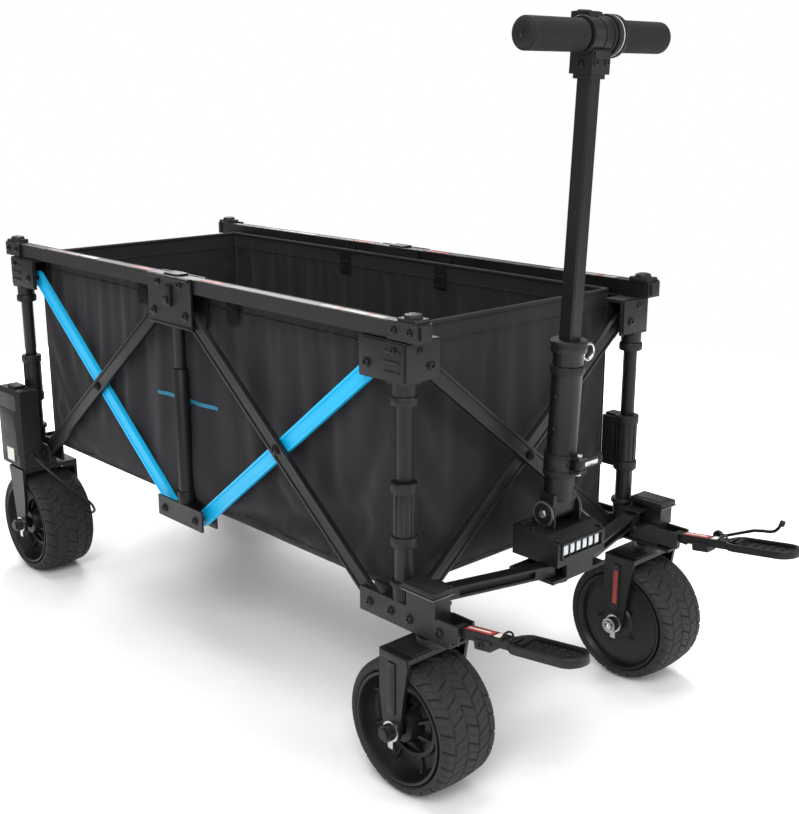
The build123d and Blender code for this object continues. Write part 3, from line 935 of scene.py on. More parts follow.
    def _bar(self, points: np.ndarray) -> bpy.types.Object:
        """Plain woven bar sewn on the right wall, following the cloth."""
        rows, columns = points.shape[0] - 1, points.shape[1] - 1

        def at(u: float, v: float) -> Point:
            """Cloth point at shares along and up the wall, a little proud."""
            c, r = u * columns, v * rows
            c0, r0 = min(int(c), columns - 1), min(int(r), rows - 1)
            a, b = c - c0, r - r0
            low = points[r0, c0] * (1 - a) + points[r0, c0 + 1] * a
            high = points[r0 + 1, c0] * (1 - a) + points[r0 + 1, c0 + 1] * a
            spot = low * (1 - b) + high * b
            return (float(spot[0]), float(spot[1]) - 1.5, float(spot[2]))

        data = grid_mesh(
            "bar", 2, 30, lambda u, v: at(0.405 + 0.17 * u, 0.487 + 0.018 * v), self.layout.matrix()
        )
        return make_piece("basket_plain_bar", data, LABEL_TEAL, "top_hub_right", smooth=80.0)

    @staticmethod
    def _rests(name: str) -> str:
        """What a wall hangs from."""
        return f"rail_front_{name}" if name in ("right", "left") else f"top_corner_{name}_right"

    @staticmethod
    def _thicken(obj: bpy.types.Object, thick: float) -> None:
        """Give a cloth piece its thickness and a smoother surface."""
        smooth = obj.modifiers.new("smooth", "SUBSURF")
        smooth.levels = 1
        smooth.render_levels = 1
        shell = obj.modifiers.new("shell", "SOLIDIFY")
        shell.thickness = thick / 1000
        shell.offset = 0.0

    @staticmethod
    def _seam(forge: Forge, row: np.ndarray) -> None:
        """Line of raised stitching along a row of points."""
        points = [Vector(p) for p in row]
        for offset in (1.3, -1.3):
            path = []
            for i, point in enumerate(points):
                along = (points[min(i + 1, len(points) - 1)] - points[max(i - 1, 0)]).normalized()
                out = Vector((along.y, -along.x, 0)).normalized()
                path.append(tuple(point + out * offset))
            forge.tube(path, 0.8, 6)

    def _floor(self, side: str, sign: int) -> None:
        """Half of the padded floor, with sewn channels."""
        inner = 0.6
        outer = self.reach_y - 1.5

        def place(u: float, v: float) -> Point:
            """Top face with pillows between the seams."""
            x = -self.reach_x + 3 + (2 * self.reach_x - 6) * u
            y = sign * (inner + (outer - inner) * v)
            puff = abs(math.sin(u * math.pi * 6)) ** 0.5 * abs(math.sin(v * math.pi * 2)) ** 0.5
            ripple = noise.noise(Vector((x * 0.02, y * 0.02, 1.0))) * 1.1
            return (x, y, self.low + 1.2 + 4.0 * puff + ripple * puff)

        matrix = self.layout.matrix()
        data = grid_mesh("floor", 36, 132, place, matrix)
        if sign < 0:
            data.flip_normals()
        obj = make_piece(
            "basket_floor_" + side + "_look", data, CLOTH, "floor_" + side, ["basket_floor_" + side],
            smooth=80.0
        )
        solid = obj.modifiers.new("shell", "SOLIDIFY")
        solid.thickness = 0.0015
        solid.offset = -1.0
        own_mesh(obj)

    def _straps(self, end: str, front: int, side: str, sign: int) -> None:
        """Webbing loops that hang the wall from a half rail."""
        forge = Forge(self.layout.matrix())
        y = sign * self.layout.half
        inward = -sign
        low, high = front * 132.0 - 15, front * 132.0 + 15
        path = [
            (14.6, 596), (15.0, 626), (16.6, 640), (18.6, 646), (21.6, 646.6), (25.4, 644), (26.4, 632),
            (26.0, 600)
        ]
        self._ribbon(forge, [(y + inward * a, z) for a, z in path], low, high)
        self._ribbon(
            forge, [(y + inward * a, z) for a, z in ((11.9, 655), (13.4, 650), (15.0, 640), (15.4, 622))],
            low, high
        )
        for z in (604.0, 622.0):
            forge.block(
                (low + 2.5, y + inward * 14.2 - 0.5, z - 0.5),
                (high - 2.5, y + inward * 14.2 + 0.5, z + 0.5), 0.3
            )
            forge.block(
                (low + 2.5, y + inward * 27.0 - 0.5, z - 0.5),
                (high - 2.5, y + inward * 27.0 + 0.5, z + 0.5), 0.3
            )
        forge.piece(f"basket_straps_{end}_{side}", WEBBING, f"rail_{end}_{side}")

    @staticmethod
    def _ribbon(forge: Forge, path: Sequence[Tuple[float, float]], low: float, high: float) -> None:
        """Flat webbing swept along a line in the YZ plane."""
        part = bmesh.new()
        rows = [(part.verts.new((low, y, z)), part.verts.new((high, y, z))) for y, z in path]
        for first, second in zip(rows, rows[1:]):
            part.faces.new((first[0], first[1], second[1], second[0]))
        bmesh.ops.solidify(part, geom=list(part.faces), thickness=1.1)
        bmesh.ops.recalc_face_normals(part, faces=part.faces)
        forge.take(part, 0.25)


@dataclass
class Frame:
    """Channel struts, bolts, rail strips, knobs and the drive box's details."""

    layout: Layout
    span_low: float = 46.0
    span_high: float = 486.0
    low_z: float = 252.0
    top_z: float = 600.0
    end_x: float = 540.0
    end_y: float = 220.0

    def build(self) -> None:
        """Build the struts' looks and everything fastened to the frame."""
        for end, front in ENDS:
            for side, sign in SIDES:
                corner = f"{end}_{side}"
                self._side_struts(corner, front, sign)
                self._top_corner(corner, front, sign)
                self._lower_corner(corner, front, sign)
                self._rail(corner, front, sign)
            self._end_struts(end, front)
        for side, sign in SIDES:
            self._hubs(side, sign)
        self._drive_box()

    def _channel(
        self, name: str, node: str, body: str, low: Point, high: Point, out: Point, wide: float,
        finish: Finish
    ) -> None:
        """Folded-edge strut inside the space of its CAD strut."""
        forge = Forge(self.layout.matrix())
        start, stop, normal = Vector(low), Vector(high), Vector(out)
        along = (stop - start).normalized()
        across = normal.cross(along)
        length = (stop - start).length
        half = wide / 2
        outline: List[Tuple[float, float]] = []
        for i in range(13):
            angle = -math.pi / 2 + math.pi * i / 12
            outline.append((length + half * math.cos(angle), half * math.sin(angle)))
        for i in range(13):
            angle = math.pi / 2 + math.pi * i / 12
            outline.append((half * math.cos(angle), half * math.sin(angle)))
        forge.prism(outline, tuple(start), tuple(along), tuple(across), 7.2, 0.9)
        for sign in (-1, 1):
            a = start + normal * 6.6 + across * (sign * (half - 2.2))
            lip = [(0, -2.1), (length, -2.1), (length, 2.1), (0, 2.1)]
            forge.prism(lip, tuple(a), tuple(along), tuple(across), 2.35, 0.8)
        forge.piece(name, finish, body, [node])

    def _side_struts(self, corner: str, front: int, sign: int) -> None:
        """Blue and black strut of one quarter, with the middle rivet."""
        y = sign * self.layout.half
        low, high = front * self.span_low, front * self.span_high
        blue_y = y - sign * 8.0
        black_y = y + sign * 2.0
        out = (0, sign, 0)
        node = "blue_strut_" + corner
        self._channel(
            node + "_look", node, node, (low, blue_y, self.low_z), (high, blue_y, self.top_z), out, 26,
            BLUE_PAINT
        )
        node = "black_strut_" + corner
        self._channel(
            node + "_look", node, node, (high, black_y, self.low_z), (low, black_y, self.top_z), out, 26,
            BLACK_PAINT
        )
        rivet = Forge(self.layout.matrix())
        middle = (low + high) / 2
        centre_z = (self.low_z + self.top_z) / 2
        rivet.bolt((middle, y + sign * 11.0, centre_z), out, 6.4, 3.2)
        rivet.bolt((middle, y - sign * 8.0, centre_z), (0, -sign, 0), 6.4, 3.2)
        rivet.piece("middle_rivet_" + corner, DARK_STEEL, "blue_strut_" + corner)

    def _end_struts(self, end: str, front: int) -> None:
        """Crossed struts of one end."""
        outer = front * (self.end_x + 2.0)
        inner = front * (self.end_x - 8.0)
        out = (front, 0, 0)
        y = self.end_y
        node = end + "_strut_falling"
        self._channel(
            node + "_look", node, node, (outer, -y, self.top_z), (outer, y, self.low_z), out, 24,
            BLACK_PAINT
        )
        node = end + "_strut_rising"
        self._channel(
            node + "_look", node, node, (inner, -y, self.low_z), (inner, y, self.top_z), out, 24,
            BLACK_PAINT
        )
        rivet = Forge(self.layout.matrix())
        centre_z = (self.low_z + self.top_z) / 2
        rivet.bolt((front * (self.end_x + 11.0), 0, centre_z), out, 6.0, 3.0)
        rivet.piece("middle_rivet_" + end, DARK_STEEL, end + "_strut_rising")

    def _hubs(self, side: str, sign: int) -> None:
        """Bolts, latch and folded lips of the centre brackets."""
        outer = sign * (self.layout.half + 16.0)
        inner = sign * (self.layout.half - 16.0)
        top = Forge(self.layout.matrix())
        for x in (-self.span_low, self.span_low):
            top.bolt((x, outer, self.top_z), (0, sign, 0), 6.2)
            top.bolt((x, inner, self.top_z), (0, -sign, 0), 5.4, 2.4)
        for x in (-32.0, 32.0):
            top.bolt((x, outer, 649.5), (0, sign, 0), 5.4)
        top.piece("top_hub_bolts_" + side, DARK_STEEL, "top_hub_" + side)
        plate = Forge(self.layout.matrix())
        mid = sign * self.layout.half
        plate.block((-60, mid + sign * 16.0, 655), (60, mid + sign * 19.5, 661.5), 1.4)
        plate.block((-60, mid + sign * 16.0, 579), (60, mid + sign * 18.0, 583), 0.9)
        plate.block((-10, mid + sign * 16.0, 612), (10, mid + sign * 22.0, 646), 2.4)
        plate.block((-7, mid + sign * 22.0, 617), (7, mid + sign * 26.0, 628), 1.8)
        plate.block((-19, mid - 12, 661.5), (19, mid + 12, 665.0), 1.6)
        plate.piece("top_hub_plate_" + side, BLACK_PLASTIC, "top_hub_" + side)
        low = Forge(self.layout.matrix())
        for x in (-self.span_low, self.span_low):
            low.bolt((x, outer, self.low_z), (0, sign, 0), 6.2)
            low.bolt((x, inner, self.low_z), (0, -sign, 0), 5.4, 2.4)
        low.piece("bottom_hub_bolts_" + side, DARK_STEEL, "bottom_hub_" + side)

    def _top_corner(self, corner: str, front: int, sign: int) -> None:
        """Cover, gusset ribs and bolts of a moulded top corner."""
        body = "top_corner_" + corner
        x, y = front * self.end_x, sign * self.layout.half
        shell = Forge(self.layout.matrix())
        outer = y + sign * 16.0
        shell.block((front * 470, outer, 582), (front * 556, outer + sign * 3.0, 634), 2.2)
        end_face = x + front * 16.5
        shell.block((end_face, sign * 203, 582), (end_face + front * 3.0, y + sign * 14, 634), 2.2)
        for k in range(3):
            z = 592 + 14 * k
            shell.block((front * 520, outer + sign * 3.0, z), (front * 552, outer + sign * 4.6, z + 4), 0.8)
        shell.lathe(
            [(0, 16.1), (0, 18.0), (1.5, 18.6), (10, 18.6), (12, 17.4), (12, 16.1)], (x, y, 549), (0, 0, 1),
            40
        )
        shell.piece("corner_cover_" + corner, BLACK_PLASTIC, body)
        bolts = Forge(self.layout.matrix())
        bolts.bolt((front * self.span_high, outer + sign * 3.0, self.top_z), (0, sign, 0), 5.8)
        bolts.bolt((front * 540, outer + sign * 4.4, 624), (0, sign, 0), 4.2, 2.4)
        bolts.bolt((end_face + front * 3.0, sign * self.end_y, self.top_z), (front, 0, 0), 5.8)
        bolts.bolt((end_face + front * 3.0, sign * 240, 624), (front, 0, 0), 4.2, 2.4)
        bolts.piece("corner_bolts_" + corner, DARK_STEEL, body)

    def _lower_corner(self, corner: str, front: int, sign: int) -> None:
        """Bolts, sleeves and the swivel cap of a lower bracket."""
        body = "lower_corner_" + corner
        x, y = front * self.end_x, sign * self.layout.half
        outer = y + sign * 16.0
        bolts = Forge(self.layout.matrix())
        spots = (self.span_high, 530.0, 568.0, 626.0) if front > 0 else (self.span_high, 530.0, 568.0)
        for spot in spots:
            if front < 0 and sign < 0 and spot > self.span_high:
                continue
            bolts.bolt((front * spot, outer, self.low_z), (0, sign, 0), 5.6)
        bolts.bolt((x + front * 16.5, sign * self.end_y, self.low_z), (front, 0, 0), 5.6)
        bolts.piece("lower_bolts_" + corner, DARK_STEEL, body)
        sleeve = Forge(self.layout.matrix())
        for low, tall in ((349.0, 14.0), (426.0, 14.0)):
            ring = [(0, 16.1), (0, 18.4), (1.2, 19.0), (tall - 1.2, 19.0), (tall, 18.4), (tall, 16.1)]
            sleeve.lathe(ring, (x, y, low), (0, 0, 1), 44)
        for k in range(12):
            angle = math.tau * k / 12
            place = Matrix.Translation((x, y, 0)) @ Matrix.Rotation(angle, 4, "Z")
            sleeve.block((15.6, -1.2, 363), (17.1, 1.2, 426), 0.5, place)
        sleeve.lathe(
            [(0, 14), (0, 18.5), (1.5, 19.5), (6.0, 19.5), (7.5, 18.5), (7.5, 14)], (x, y, 290), (0, 0, 1),
            44
        )
        if corner == "front_left":
            sleeve.block((501, y - 14, 352), (527, y + 14, 436), 2.2)
            sleeve.block((504, y - 10, 436), (524, y + 10, 440), 1.2)
        sleeve.piece("post_sleeve_" + corner, BLACK_PLASTIC, body)
        if front > 0:
            cap = Forge(self.layout.matrix())
            cap.block((563, y - sign * 12, 300.6), (625, y + sign * 27, 309), 2.4)
            cap.block((569, y - sign * 6, 308.4), (619, y + sign * 21, 310.4), 1.2)
            cap.piece("swivel_cap_" + corner, BLACK_PLASTIC, body)
            trim = Forge(self.layout.matrix())
            trim.block((562.2, y - sign * 12.8, 298.6), (625.8, y + sign * 27.8, 301.0), 0.7)
            trim.piece("swivel_trim_" + corner, BRUSHED, body)
        else:
            plate = Forge(self.layout.matrix())
            plate.block((-598, y - 15, 236.0), (-556, y + 15, 240.5), 1.5)
            plate.piece("rear_plate_" + corner, BLACK_PAINT, body)

    def _rail(self, corner: str, front: int, sign: int) -> None:
        """Printed strips whose light grey base is partly a painted reflection, end cap and latch knob of a half
        rail.
        """
        body = "rail_" + corner
        y = sign * self.layout.half
        strip = Forge(self.layout.matrix())
        top = 661.0
        near, far = (372, 506) if front > 0 else (250, 430)
        # Light grey strip on the rail top: print, and a painted reflection of the rail's sheen in its base colour.
        strip.block((front * near, y - 6.5, top), (front * far, y + 6.5, top + 0.4), 0.15)
        strip.piece("rail_print_and_painted_reflection_" + corner, PRINT_WITH_PAINTED_REFLECTION, body)
        lines = Forge(self.layout.matrix())
        for offset in (-9.6, 9.6):
            lines.block((front * 70, y + offset - 0.7, top), (front * 536, y + offset + 0.7, top + 0.6), 0.25)
        lines.piece("rail_ridges_" + corner, BLACK_PAINT, body)
        mark = Forge(self.layout.matrix())
        mark.block((front * 74, y - 5.0, top), (front * 132, y + 5.0, top + 0.4), 0.15)
        mark.piece("rail_mark_" + corner, LABEL_RED, body)
        knob = Forge(self.layout.matrix())
        dome = [(0, 0), (0, 12.5), (4.5, 12.5), (6.4, 11.2), (7.6, 7.0), (8.0, 0)]
        knob.lathe(dome, (front * 557, y, 666.5), (0, 0, 1), 40)
        knob.block((front * 541, y - 14.2, 661.2), (front * 575, y + 14.2, 667.6), 2.0)
        knob.block((front * 571, y - 9, 641), (front * 582, y + 9, 660), 2.2)
        knob.piece("rail_knob_" + corner, BLACK_PLASTIC, body)
        side = Forge(self.layout.matrix())
        side.bolt((front * 536, y + sign * 16.0, 651), (0, sign, 0), 4.4, 2.2)
        side.bolt((front * 566, y + sign * 16.0, 651), (0, sign, 0), 4.4, 2.2)
        side.piece("rail_bolts_" + corner, DARK_STEEL, body)

    def _drive_box(self) -> None:
        """Lid line, label, port and screws of the drive box."""
        low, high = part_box("battery_box")
        x0, x1 = (low.x - self.layout.shift) * 1000, (high.x - self.layout.shift) * 1000
        y0 = low.y * 1000
        lid = Forge(self.layout.matrix())
        lid.block((x0 - 0.8, y0 + 9, 356), (x1 + 0.8, y0 + 44, 359), 0.6)
        lid.block((x0 + 10, y0 - 1.2, 250), (x1 - 10, y0 + 2, 340), 1.2)
        lid.block((x0 + 16, y0 - 2.0, 300), (x1 - 16, y0 + 1, 334), 0.8)
        lid.block((x0 + 28, y0 + 12, 379.5), (x1 - 28, y0 + 34, 386), 2.2)
        for x in (x0 + 12, x1 - 12):
            for z in (233.0, 368.0):
                lid.lathe(
                    [(0, 0), (0, 3.4), (1.6, 3.4), (2.4, 2.4), (2.4, 0)], (x, y0 + 3.6, z), (0, -1, 0), 20
                )
        lid.piece("drive_box_trim", BLACK_PLASTIC, "lower_corner_rear_right")
        label = Forge(self.layout.matrix())
        label.block((x0 + 34, y0 - 2.2, 236), (x0 + 62, y0 - 1.0, 262), 0.2)
        label.piece("drive_box_label", PLAIN_LABEL, "lower_corner_rear_right")
        gland = Forge(self.layout.matrix())
        gland.lathe(
            [(0, 2.7), (0, 6.5), (4, 6.5), (9, 4.2), (9, 2.7)], (x1 - 0.2, -290, 250), (1, 0, -0.18), 28
        )
        gland.piece("lead_gland", BLACK_PLASTIC, "lower_corner_rear_right")


@dataclass
class Handle:
    """Tee handle, throttle ring, collars and the lamp block."""

    layout: Layout
    grip_z: float = 667.0

    def build(self) -> None:
        """Build everything on the handle and the block it hinges on."""
        for side, sign in SIDES:
            self._grip(side, sign)
        self._head()
        self._tube()
        self._block()

    def _grip(self, side: str, sign: int) -> None:
        """Ribbed foam sleeve with a diamond relief and a dimpled end cap."""
        low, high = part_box("grip_" + side)
        inner = min(abs(low.y), abs(high.y)) * 1000 + 0.2
        outer = max(abs(low.y), abs(high.y)) * 1000 - 0.2
        girth = (high.z - low.z) * 500 - 0.1
        around = 120
        rings = 150
        data = bpy.data.meshes.new("grip")
        points: List[Point] = []
        for k in range(rings + 1):
            along = inner + (outer - inner) * k / rings
            edge = min(along - inner, outer - along)
            round_off = max(0.0, 3.0 - edge)
            for i in range(around):
                angle = math.tau * i / around
                first = math.sin(angle * 10 + along * 0.62)
                second = math.sin(angle * 10 - along * 0.62)
                relief = 0.75 * max(0.0, 1.0 - 2.2 * min(abs(first), abs(second)))
                if edge < 8 or abs(along - (inner + outer) / 2) < 2.0:
                    relief = 0.0
                radius = girth - relief - 0.25 * round_off**2
                points.append(
                    (radius * math.cos(angle), sign * along, self.grip_z + radius * math.sin(angle))
                )
        quads = []
        for k in range(rings):
            for i in range(around):
                n = (i + 1) % around
                quads.append((k * around + i, k * around + n, (k + 1) * around + n, (k + 1) * around + i))
        quads.append(tuple(range(around)))
        quads.append(tuple(reversed(range(rings * around, (rings + 1) * around))))
        data.from_pydata(points, [], quads)
        data.transform(self.layout.handle_place)
        made = bmesh.new()
        made.from_mesh(data)
        bmesh.ops.recalc_face_normals(made, faces=made.faces)
        made.to_mesh(data)
        made.free()
        make_piece(f"grip_{side}_look", data, FOAM, "handle_pole", ["grip_" + side], smooth=50.0)
        cap = Forge(self.layout.handle_place)
        cap.lathe(
            [
                (-2, 0), (-2, girth - 3.4), (0.6, girth - 3.4), (1.8, girth - 5.0), (2.1, 5.0), (0.6, 3.6),
                (0.4, 0)
            ],
            (0, sign * (outer - 0.2), self.grip_z), (0, sign, 0), 48
        )
        cap.piece(f"grip_cap_{side}", BLACK_PLASTIC, "handle_pole")

    def _head(self) -> None:
        """Housing seams, throttle ring band, keys and the saddle's screws."""
        z = self.grip_z
        ring = Forge(self.layout.handle_place)
        for y in (-23.0, 2.0, 20.0):
            ring.lathe(
                [(0, 23.0), (0, 24.8), (0.8, 25.4), (3.2, 25.4), (4, 24.8), (4, 23.0)], (0, y, z),
                (0, 1, 0), 64
            )
        for y in (25.5, 38.0):
            ring.lathe(
                [(0, 26.5), (0, 27.8), (1, 28.4), (5, 28.4), (6, 27.8), (6, 26.5)], (0, y, z), (0, 1, 0), 72
            )
        ring.block((-24, -12, z + 27), (2, 12, z + 30.8), 1.8)
        ring.block((-20, -9, z + 30.0), (-10, -1, z + 32.4), 1.0)
        ring.block((-20, 1, z + 30.0), (-10, 9, z + 32.4), 1.0)
        ring.block((-22, -16, z - 30), (22, 16, z - 18), 3.0)
        ring.piece("handle_head_trim", BLACK_PLASTIC, "handle_pole")
        band = Forge(self.layout.handle_place)
        band.lathe([(0, 26.9), (0, 27.5), (1.1, 27.5), (1.1, 26.9)], (0, 34.4, z), (0, 1, 0), 72)
        band.piece("handle_ring_line", PLAIN_LABEL, "handle_pole")
        screws = Forge(self.layout.handle_place)
        for y in (-11.0, 11.0):
            screws.bolt((19.0, y, z - 34), (1, 0, 0), 3.6, 2.2)
        screws.bolt((0, -19.0, z - 36), (0, -1, 0), 4.0, 2.4)
        screws.piece("handle_head_screws", DARK_STEEL, "handle_pole")

    def _tube(self) -> None:
        """Collars, side screws and bolt of the lower tube."""
        trim = Forge(self.layout.handle_place)
        trim.lathe(
            [(0, 22.1), (0, 24.4), (1.5, 25.2), (9, 25.2), (10.5, 24.4), (10.5, 22.1)], (0, 0, 54.5),
            (0, 0, 1), 56
        )
        trim.lathe(
            [(0, 14), (0, 24.5), (1.4, 26.6), (5.0, 26.6), (6.6, 25.0), (6.6, 14)], (0, 0, 250.5),
            (0, 0, 1), 56
        )
        trim.lathe(
            [(0, 22.1), (0, 24.0), (1.5, 24.6), (10.5, 24.6), (12, 24.0), (12, 22.1)], (0, 0, 208),
            (0, 0, 1), 56
        )
        trim.piece("handle_tube_trim", BLACK_PLASTIC, "handle_tube")
        steel = Forge(self.layout.handle_place)
        for z in (128.0, 176.0):
            steel.bolt((0, -22.0, z), (0, -1, 0), 3.6, 2.2)
        steel.bolt((20, -10, 78), (0, -1, 0), 4.6, 2.4)
        steel.bolt((20, 10, 78), (0, 1, 0), 4.6, 2.4)
        steel.piece("handle_tube_screws", DARK_STEEL, "handle_tube")
        clip = Forge(self.layout.handle_place)
        for z, way in ((90, 1), (66, -1)):
            clip.lathe([(0, 0), (0, 4.4), (3.6, 4.4), (4.8, 3.2), (4.8, 0)], (33, 0, z), (0, 0, way), 28)
        clip.piece("clamp_pin_heads", ZINC, "handle_tube")
        bar = Forge(self.layout.handle_place)
        bar.block((36.8, 8, 74.5), (38.4, 38, 81.5), 0.6)
        bar.piece("cam_lever_plate", ZINC, "cam_lever")

    def _block(self) -> None:
        """Lamp row, window frame, clevis edges and screws of the centre block."""
        matrix = self.layout.matrix()
        lamps = Forge(matrix)
        for k in range(6):
            y = -35.0 + 14.0 * k
            lamps.block((648.6, y - 5.6, 306.5), (651.4, y + 5.6, 321.5), 1.3)
            lamps.lathe([(0, 0), (0, 3.6), (0.9, 3.0), (1.3, 0)], (651.2, y, 314), (1, 0, 0), 24)
        lamps.piece("block_lamps", LAMP, "centre_block")
        frame = Forge(matrix)
        frame.block((650.5, -47, 322.5), (654.5, 47, 326.5), 1.2)
        frame.block((650.5, -47, 301.0), (654.5, 47, 304.5), 1.2)
        for y in (-47.0, 43.5):
            frame.block((650.5, y, 301.0), (654.5, y + 3.5, 326.5), 1.2)
        for k in range(5):
            y = -28.0 + 14.0 * k
            frame.block((650.0, y - 0.9, 304), (653.2, y + 0.9, 323), 0.4)
        frame.block((572, -50, 335.5), (582, 50, 338.5), 1.2)
        frame.lathe(
            [(0, 0), (0, 21.5), (3, 23.0), (9, 23.0), (12, 21.0), (12, 0)], (604, 0, 253), (0, 0, 1), 48
        )
        frame.piece("block_window", BLACK_PLASTIC, "centre_block")
        edge = Forge(matrix)
        for y in (-31.6, 31.6):
            edge.lathe(
                [(0, 16.0), (0, 19.4), (0.8, 19.4), (0.8, 16.0), (0, 16.0)], (604, y, 356),
                (0, 1 if y > 0 else -1, 0), 48
            )
            edge.lathe(
                [(0, 0), (0, 7.2), (3.0, 7.2), (4.2, 5.6), (4.2, 0)],
                (604, y - (0.4 if y > 0 else -0.4), 356), (0, 1 if y > 0 else -1, 0), 6, bevel=0.4
            )
        edge.piece("block_clevis_edge", ZINC, "centre_block")
        screws = Forge(matrix)
        for y in (-48.0, 48.0):
            screws.bolt((644.5, y, 330.6), (0.45, 0, 0.9), 3.4, 2.0)
            screws.bolt((600, y, 336), (0, 0, 1), 3.8, 2.2)
        screws.piece("block_screws", DARK_STEEL, "centre_block")


@dataclass
class Pedals:
    """Printed mark, clasp and screws of the brake pedals, and the forks' details."""

    layout: Layout

    def build(self) -> None:
        """Build the pedals' and forks' small pieces."""
        for side, sign in SIDES:
            self._pedal(side, sign)
            self._fork(side, sign)
        self._hook()

    def _place(self, sign: int) -> Matrix:
        """Placement of a pedal's own frame."""
        return self.layout.matrix() @ Matrix.Translation(
            (650.0, sign * self.layout.half, 258.0)
        ) @ Matrix.Rotation(math.radians(-8.0), 4, "Y")

    def _pedal(self, side: str, sign: int) -> None:
        """Mark near the root, clasp loop and the raised rim of the pad."""
        place = self._place(sign)
        body = "pedal_" + side
        mark = Forge(place)
        mark.block((14, -6.5, 8.0), (62, 6.5, 8.6), 0.15)
        mark.piece("pedal_mark_" + side, LABEL_RED, body)
        white = Forge(place)
        white.block((66, -6.5, 8.0), (76, 6.5, 8.6), 0.15)
        white.block((17, -1.6, 8.55), (56, 1.6, 8.9), 0.1)
        white.piece("pedal_mark_white_" + side, PLAIN_LABEL, body)
        rim = Forge(place)
        path = []
        for i in range(48):
            angle = math.tau * i / 48
            x = 152 + (36 if math.cos(angle) > 0 else -36) + 21.2 * math.cos(angle)
            path.append((x, 21.2 * math.sin(angle), 8.2))
        rim.tube(path, 1.9, 10, closed=True)
        for x in (100.0, 112.0):
            rim.block((x, -12, 7.6), (x + 5, 12, 10.0), 0.8)
        rim.piece("pedal_rim_" + side, BLACK_PLASTIC, body)
        loop = Forge(place)
        path = []
        for i in range(25):
            angle = math.pi * i / 24
            path.append((84 + 0.5 * math.sin(angle), -11.5 * math.cos(angle), 6.0 + 9.0 * math.sin(angle)))
        loop.tube(path, 1.5, 10)
        loop.bolt((46, -11.0 if sign < 0 else 11.0, -6.5), (0, -1 if sign < 0 else 1, 0), 3.6, 2.0)
        loop.piece("pedal_loop_" + side, DARK_STEEL, body)

    def _hook(self) -> None:
        """Round bar of the release hook, curling up at a rounded tip."""
        forge = Forge(self._place(1))
        path = [
            (52, 27.5, 3), (60, 27.5, 3), (70, 27.5, 4.6), (88, 27.5, 10), (106, 27.5, 15.4),
            (122, 27.5, 20), (138, 27.5, 21.6)
        ]
        path += [(150, 27.5, 21.8), (158, 27.5, 24), (164, 27.5, 29), (168, 27.5, 34.5), (171.4, 27.5, 39)]
        forge.tube(path, 2.6, 14)
        forge.lathe([(-3.4, 0), (-3.4, 4.4), (3.4, 4.4), (3.4, 0)], (171.0, 27.5, 37.6), (0.4, 0, 0.9), 24)
        forge.lathe(
            [(-2.8, 3.3), (-2.8, 8.2), (-2.2, 8.8), (2.2, 8.8), (2.8, 8.2), (2.8, 3.3), (-2.8, 3.3)],
            (58, 27.5, 3), (0, 1, 0), 32
        )
        forge.piece("hook_lever_look", BLACK_PAINT, "hook_lever", ["hook_lever"])

    def _fork(self, side: str, sign: int) -> None:
        """Pressed ribs and the printed strip of a front fork."""
        x, y, _, _ = self.layout.wheel("front_" + side)
        body = "caster_" + side
        ribs = Forge(self.layout.matrix())
        for leg in (-1, 1):
            face = y + leg * FORK_FACE
            ribs.block((x - 6, face - leg * 0.5, 128), (x + 8, face + leg * 2.4, 206), 1.8)
            ribs.block((x - 20, face - leg * 0.4, 209), (x + 32, face + leg * 1.8, 219), 1.0)
        ribs.block((x - 18, y - 50, 219.5), (x + 32, y + 50, 222.0), 0.9)
        ribs.piece("fork_ribs_" + side, BLACK_PAINT, body)
        strip = Forge(self.layout.matrix())
        face = y - FORK_FACE - 2.4
        strip.block((x - 3, face - 0.4, 138), (x + 5, face, 196), 0.1)
        strip.piece("fork_strip_" + side, LABEL_RED if sign > 0 else BLACK_PLASTIC, body)


def dress_cad() -> None:
    """Give every CAD node its finish, and soften the edges of those that show."""
    paints: Dict[str, Finish] = {
        "blue_metal": BLUE_PAINT,
        "black_metal": BLACK_PAINT,
        "black_plastic": BLACK_PLASTIC,
        "tyre_rubber": TYRE,
        "foam_grip": FOAM,
        "basket_cloth": CLOTH,
        "zinc": ZINC,
        "lead_jacket": LEAD_JACKET,
    }
    slots = {s["node"]: s["material_slot"] for s in FRAME["record"]["subparts"]}
    for name, node in FRAME["nodes"].items():
        node.data.materials.clear()
        node.data.materials.append(PAINTER.get(paints[slots[name]]))
        if node.hide_render:
            continue
        weld = node.modifiers.new("weld", "WELD")
        weld.merge_threshold = 0.00002
        bevel = node.modifiers.new("bevel", "BEVEL")
        bevel.width = 0.0011
        bevel.segments = 2
        bevel.limit_method = "ANGLE"
        bevel.angle_limit = math.radians(40)
        bevel.harden_normals = True


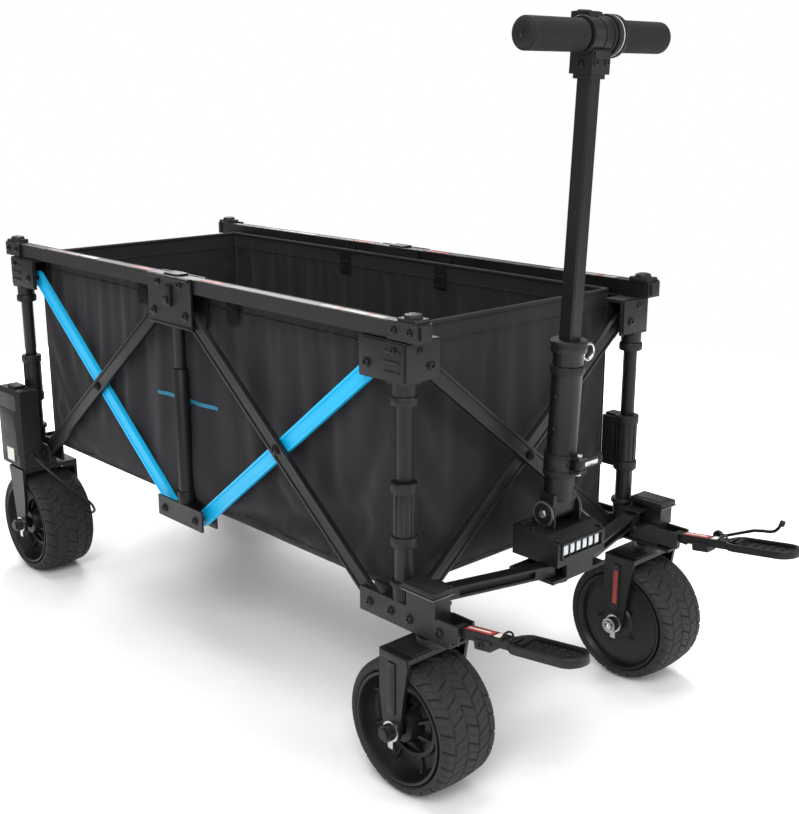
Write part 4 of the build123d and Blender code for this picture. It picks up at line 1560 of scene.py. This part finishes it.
def stage() -> None:
    """Pale floor, backdrop and soft lights."""
    made = bmesh.new()
    bmesh.ops.create_circle(
        made, cap_ends=True, segments=96, radius=2.7, matrix=Matrix.Translation((0, 0, -0.0004))
    )
    data = bpy.data.meshes.new("studio_floor")
    made.to_mesh(data)
    made.free()
    floor = bpy.data.objects.new("studio_floor", data)
    bpy.context.scene.collection.objects.link(floor)
    data.materials.append(PAINTER.get(FLOOR))
    world = bpy.data.worlds.new("studio")
    world.use_nodes = True
    tree = world.node_tree
    backdrop = tree.nodes["Background"]
    backdrop.inputs[0].default_value = (1.0, 1.0, 1.0, 1.0)
    rays = tree.nodes.new("ShaderNodeLightPath")
    level = tree.nodes.new("ShaderNodeMapRange")
    level.inputs["To Min"].default_value = 0.45
    level.inputs["To Max"].default_value = 1.0
    tree.links.new(rays.outputs["Is Camera Ray"], level.inputs["Value"])
    tree.links.new(level.outputs[0], backdrop.inputs[1])
    bpy.context.scene.world = world
    bpy.context.scene.view_settings.view_transform = "Standard"
    for name, place, size, power in (
        ("key", (2.4, -2.8, 3.4), 2.2, 140.0),
        ("top", (-0.4, 0.2, 4.2), 3.0, 130.0),
        ("rim", (-2.8, 1.8, 2.6), 1.6, 80.0),
        ("fill", (3.6, 1.4, 1.6), 1.8, 45.0),
    ):
        light = bpy.data.lights.new(name, "AREA")
        light.size = size
        light.energy = power
        lamp = bpy.data.objects.new(name, light)
        lamp.location = place
        aim = Vector((0.0, 0.0, 0.4)) - Vector(place)
        lamp.rotation_euler = aim.to_track_quat("-Z", "Y").to_euler()
        bpy.context.scene.collection.objects.link(lamp)


def camera(layout: Layout) -> None:
    """Camera of the reference view.

    Args:
        layout: the cart's sizes.
    """
    lens = bpy.data.cameras.new("camera")
    lens.sensor_width = SENSOR_MM
    lens.lens = LENS_MM
    lens.clip_end = 100.0
    obj = bpy.data.objects.new("camera", lens)
    turn, pitch = math.radians(CAMERA_TURN), math.radians(CAMERA_PITCH)
    forward = Vector((-math.sin(turn) * math.cos(pitch), math.cos(turn) * math.cos(pitch), -math.sin(pitch)))
    obj.location = Vector(CAMERA_PLACE) + Vector((layout.shift, 0.0, 0.0))
    obj.rotation_euler = forward.to_track_quat("-Z", "Y").to_euler()
    bpy.context.scene.collection.objects.link(obj)
    bpy.context.scene.camera = obj


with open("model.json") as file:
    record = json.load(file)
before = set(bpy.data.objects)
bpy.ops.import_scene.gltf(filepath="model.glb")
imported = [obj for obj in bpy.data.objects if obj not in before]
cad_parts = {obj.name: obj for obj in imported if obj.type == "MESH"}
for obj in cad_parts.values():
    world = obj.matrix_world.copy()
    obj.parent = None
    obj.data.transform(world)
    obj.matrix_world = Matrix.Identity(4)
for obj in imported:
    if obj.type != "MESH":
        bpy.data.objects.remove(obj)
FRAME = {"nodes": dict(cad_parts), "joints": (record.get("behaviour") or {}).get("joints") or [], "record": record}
PAINTER = Painter()


def main() -> None:
    logging.basicConfig(level=logging.INFO, format="%(name)s %(message)s")
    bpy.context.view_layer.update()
    layout = Layout()
    Wheels(layout).build()
    Basket(layout).build()
    Frame(layout).build()
    Handle(layout).build()
    Pedals(layout).build()
    dress_cad()
    stage()
    camera(layout)


if __name__ == "__main__":
    main()
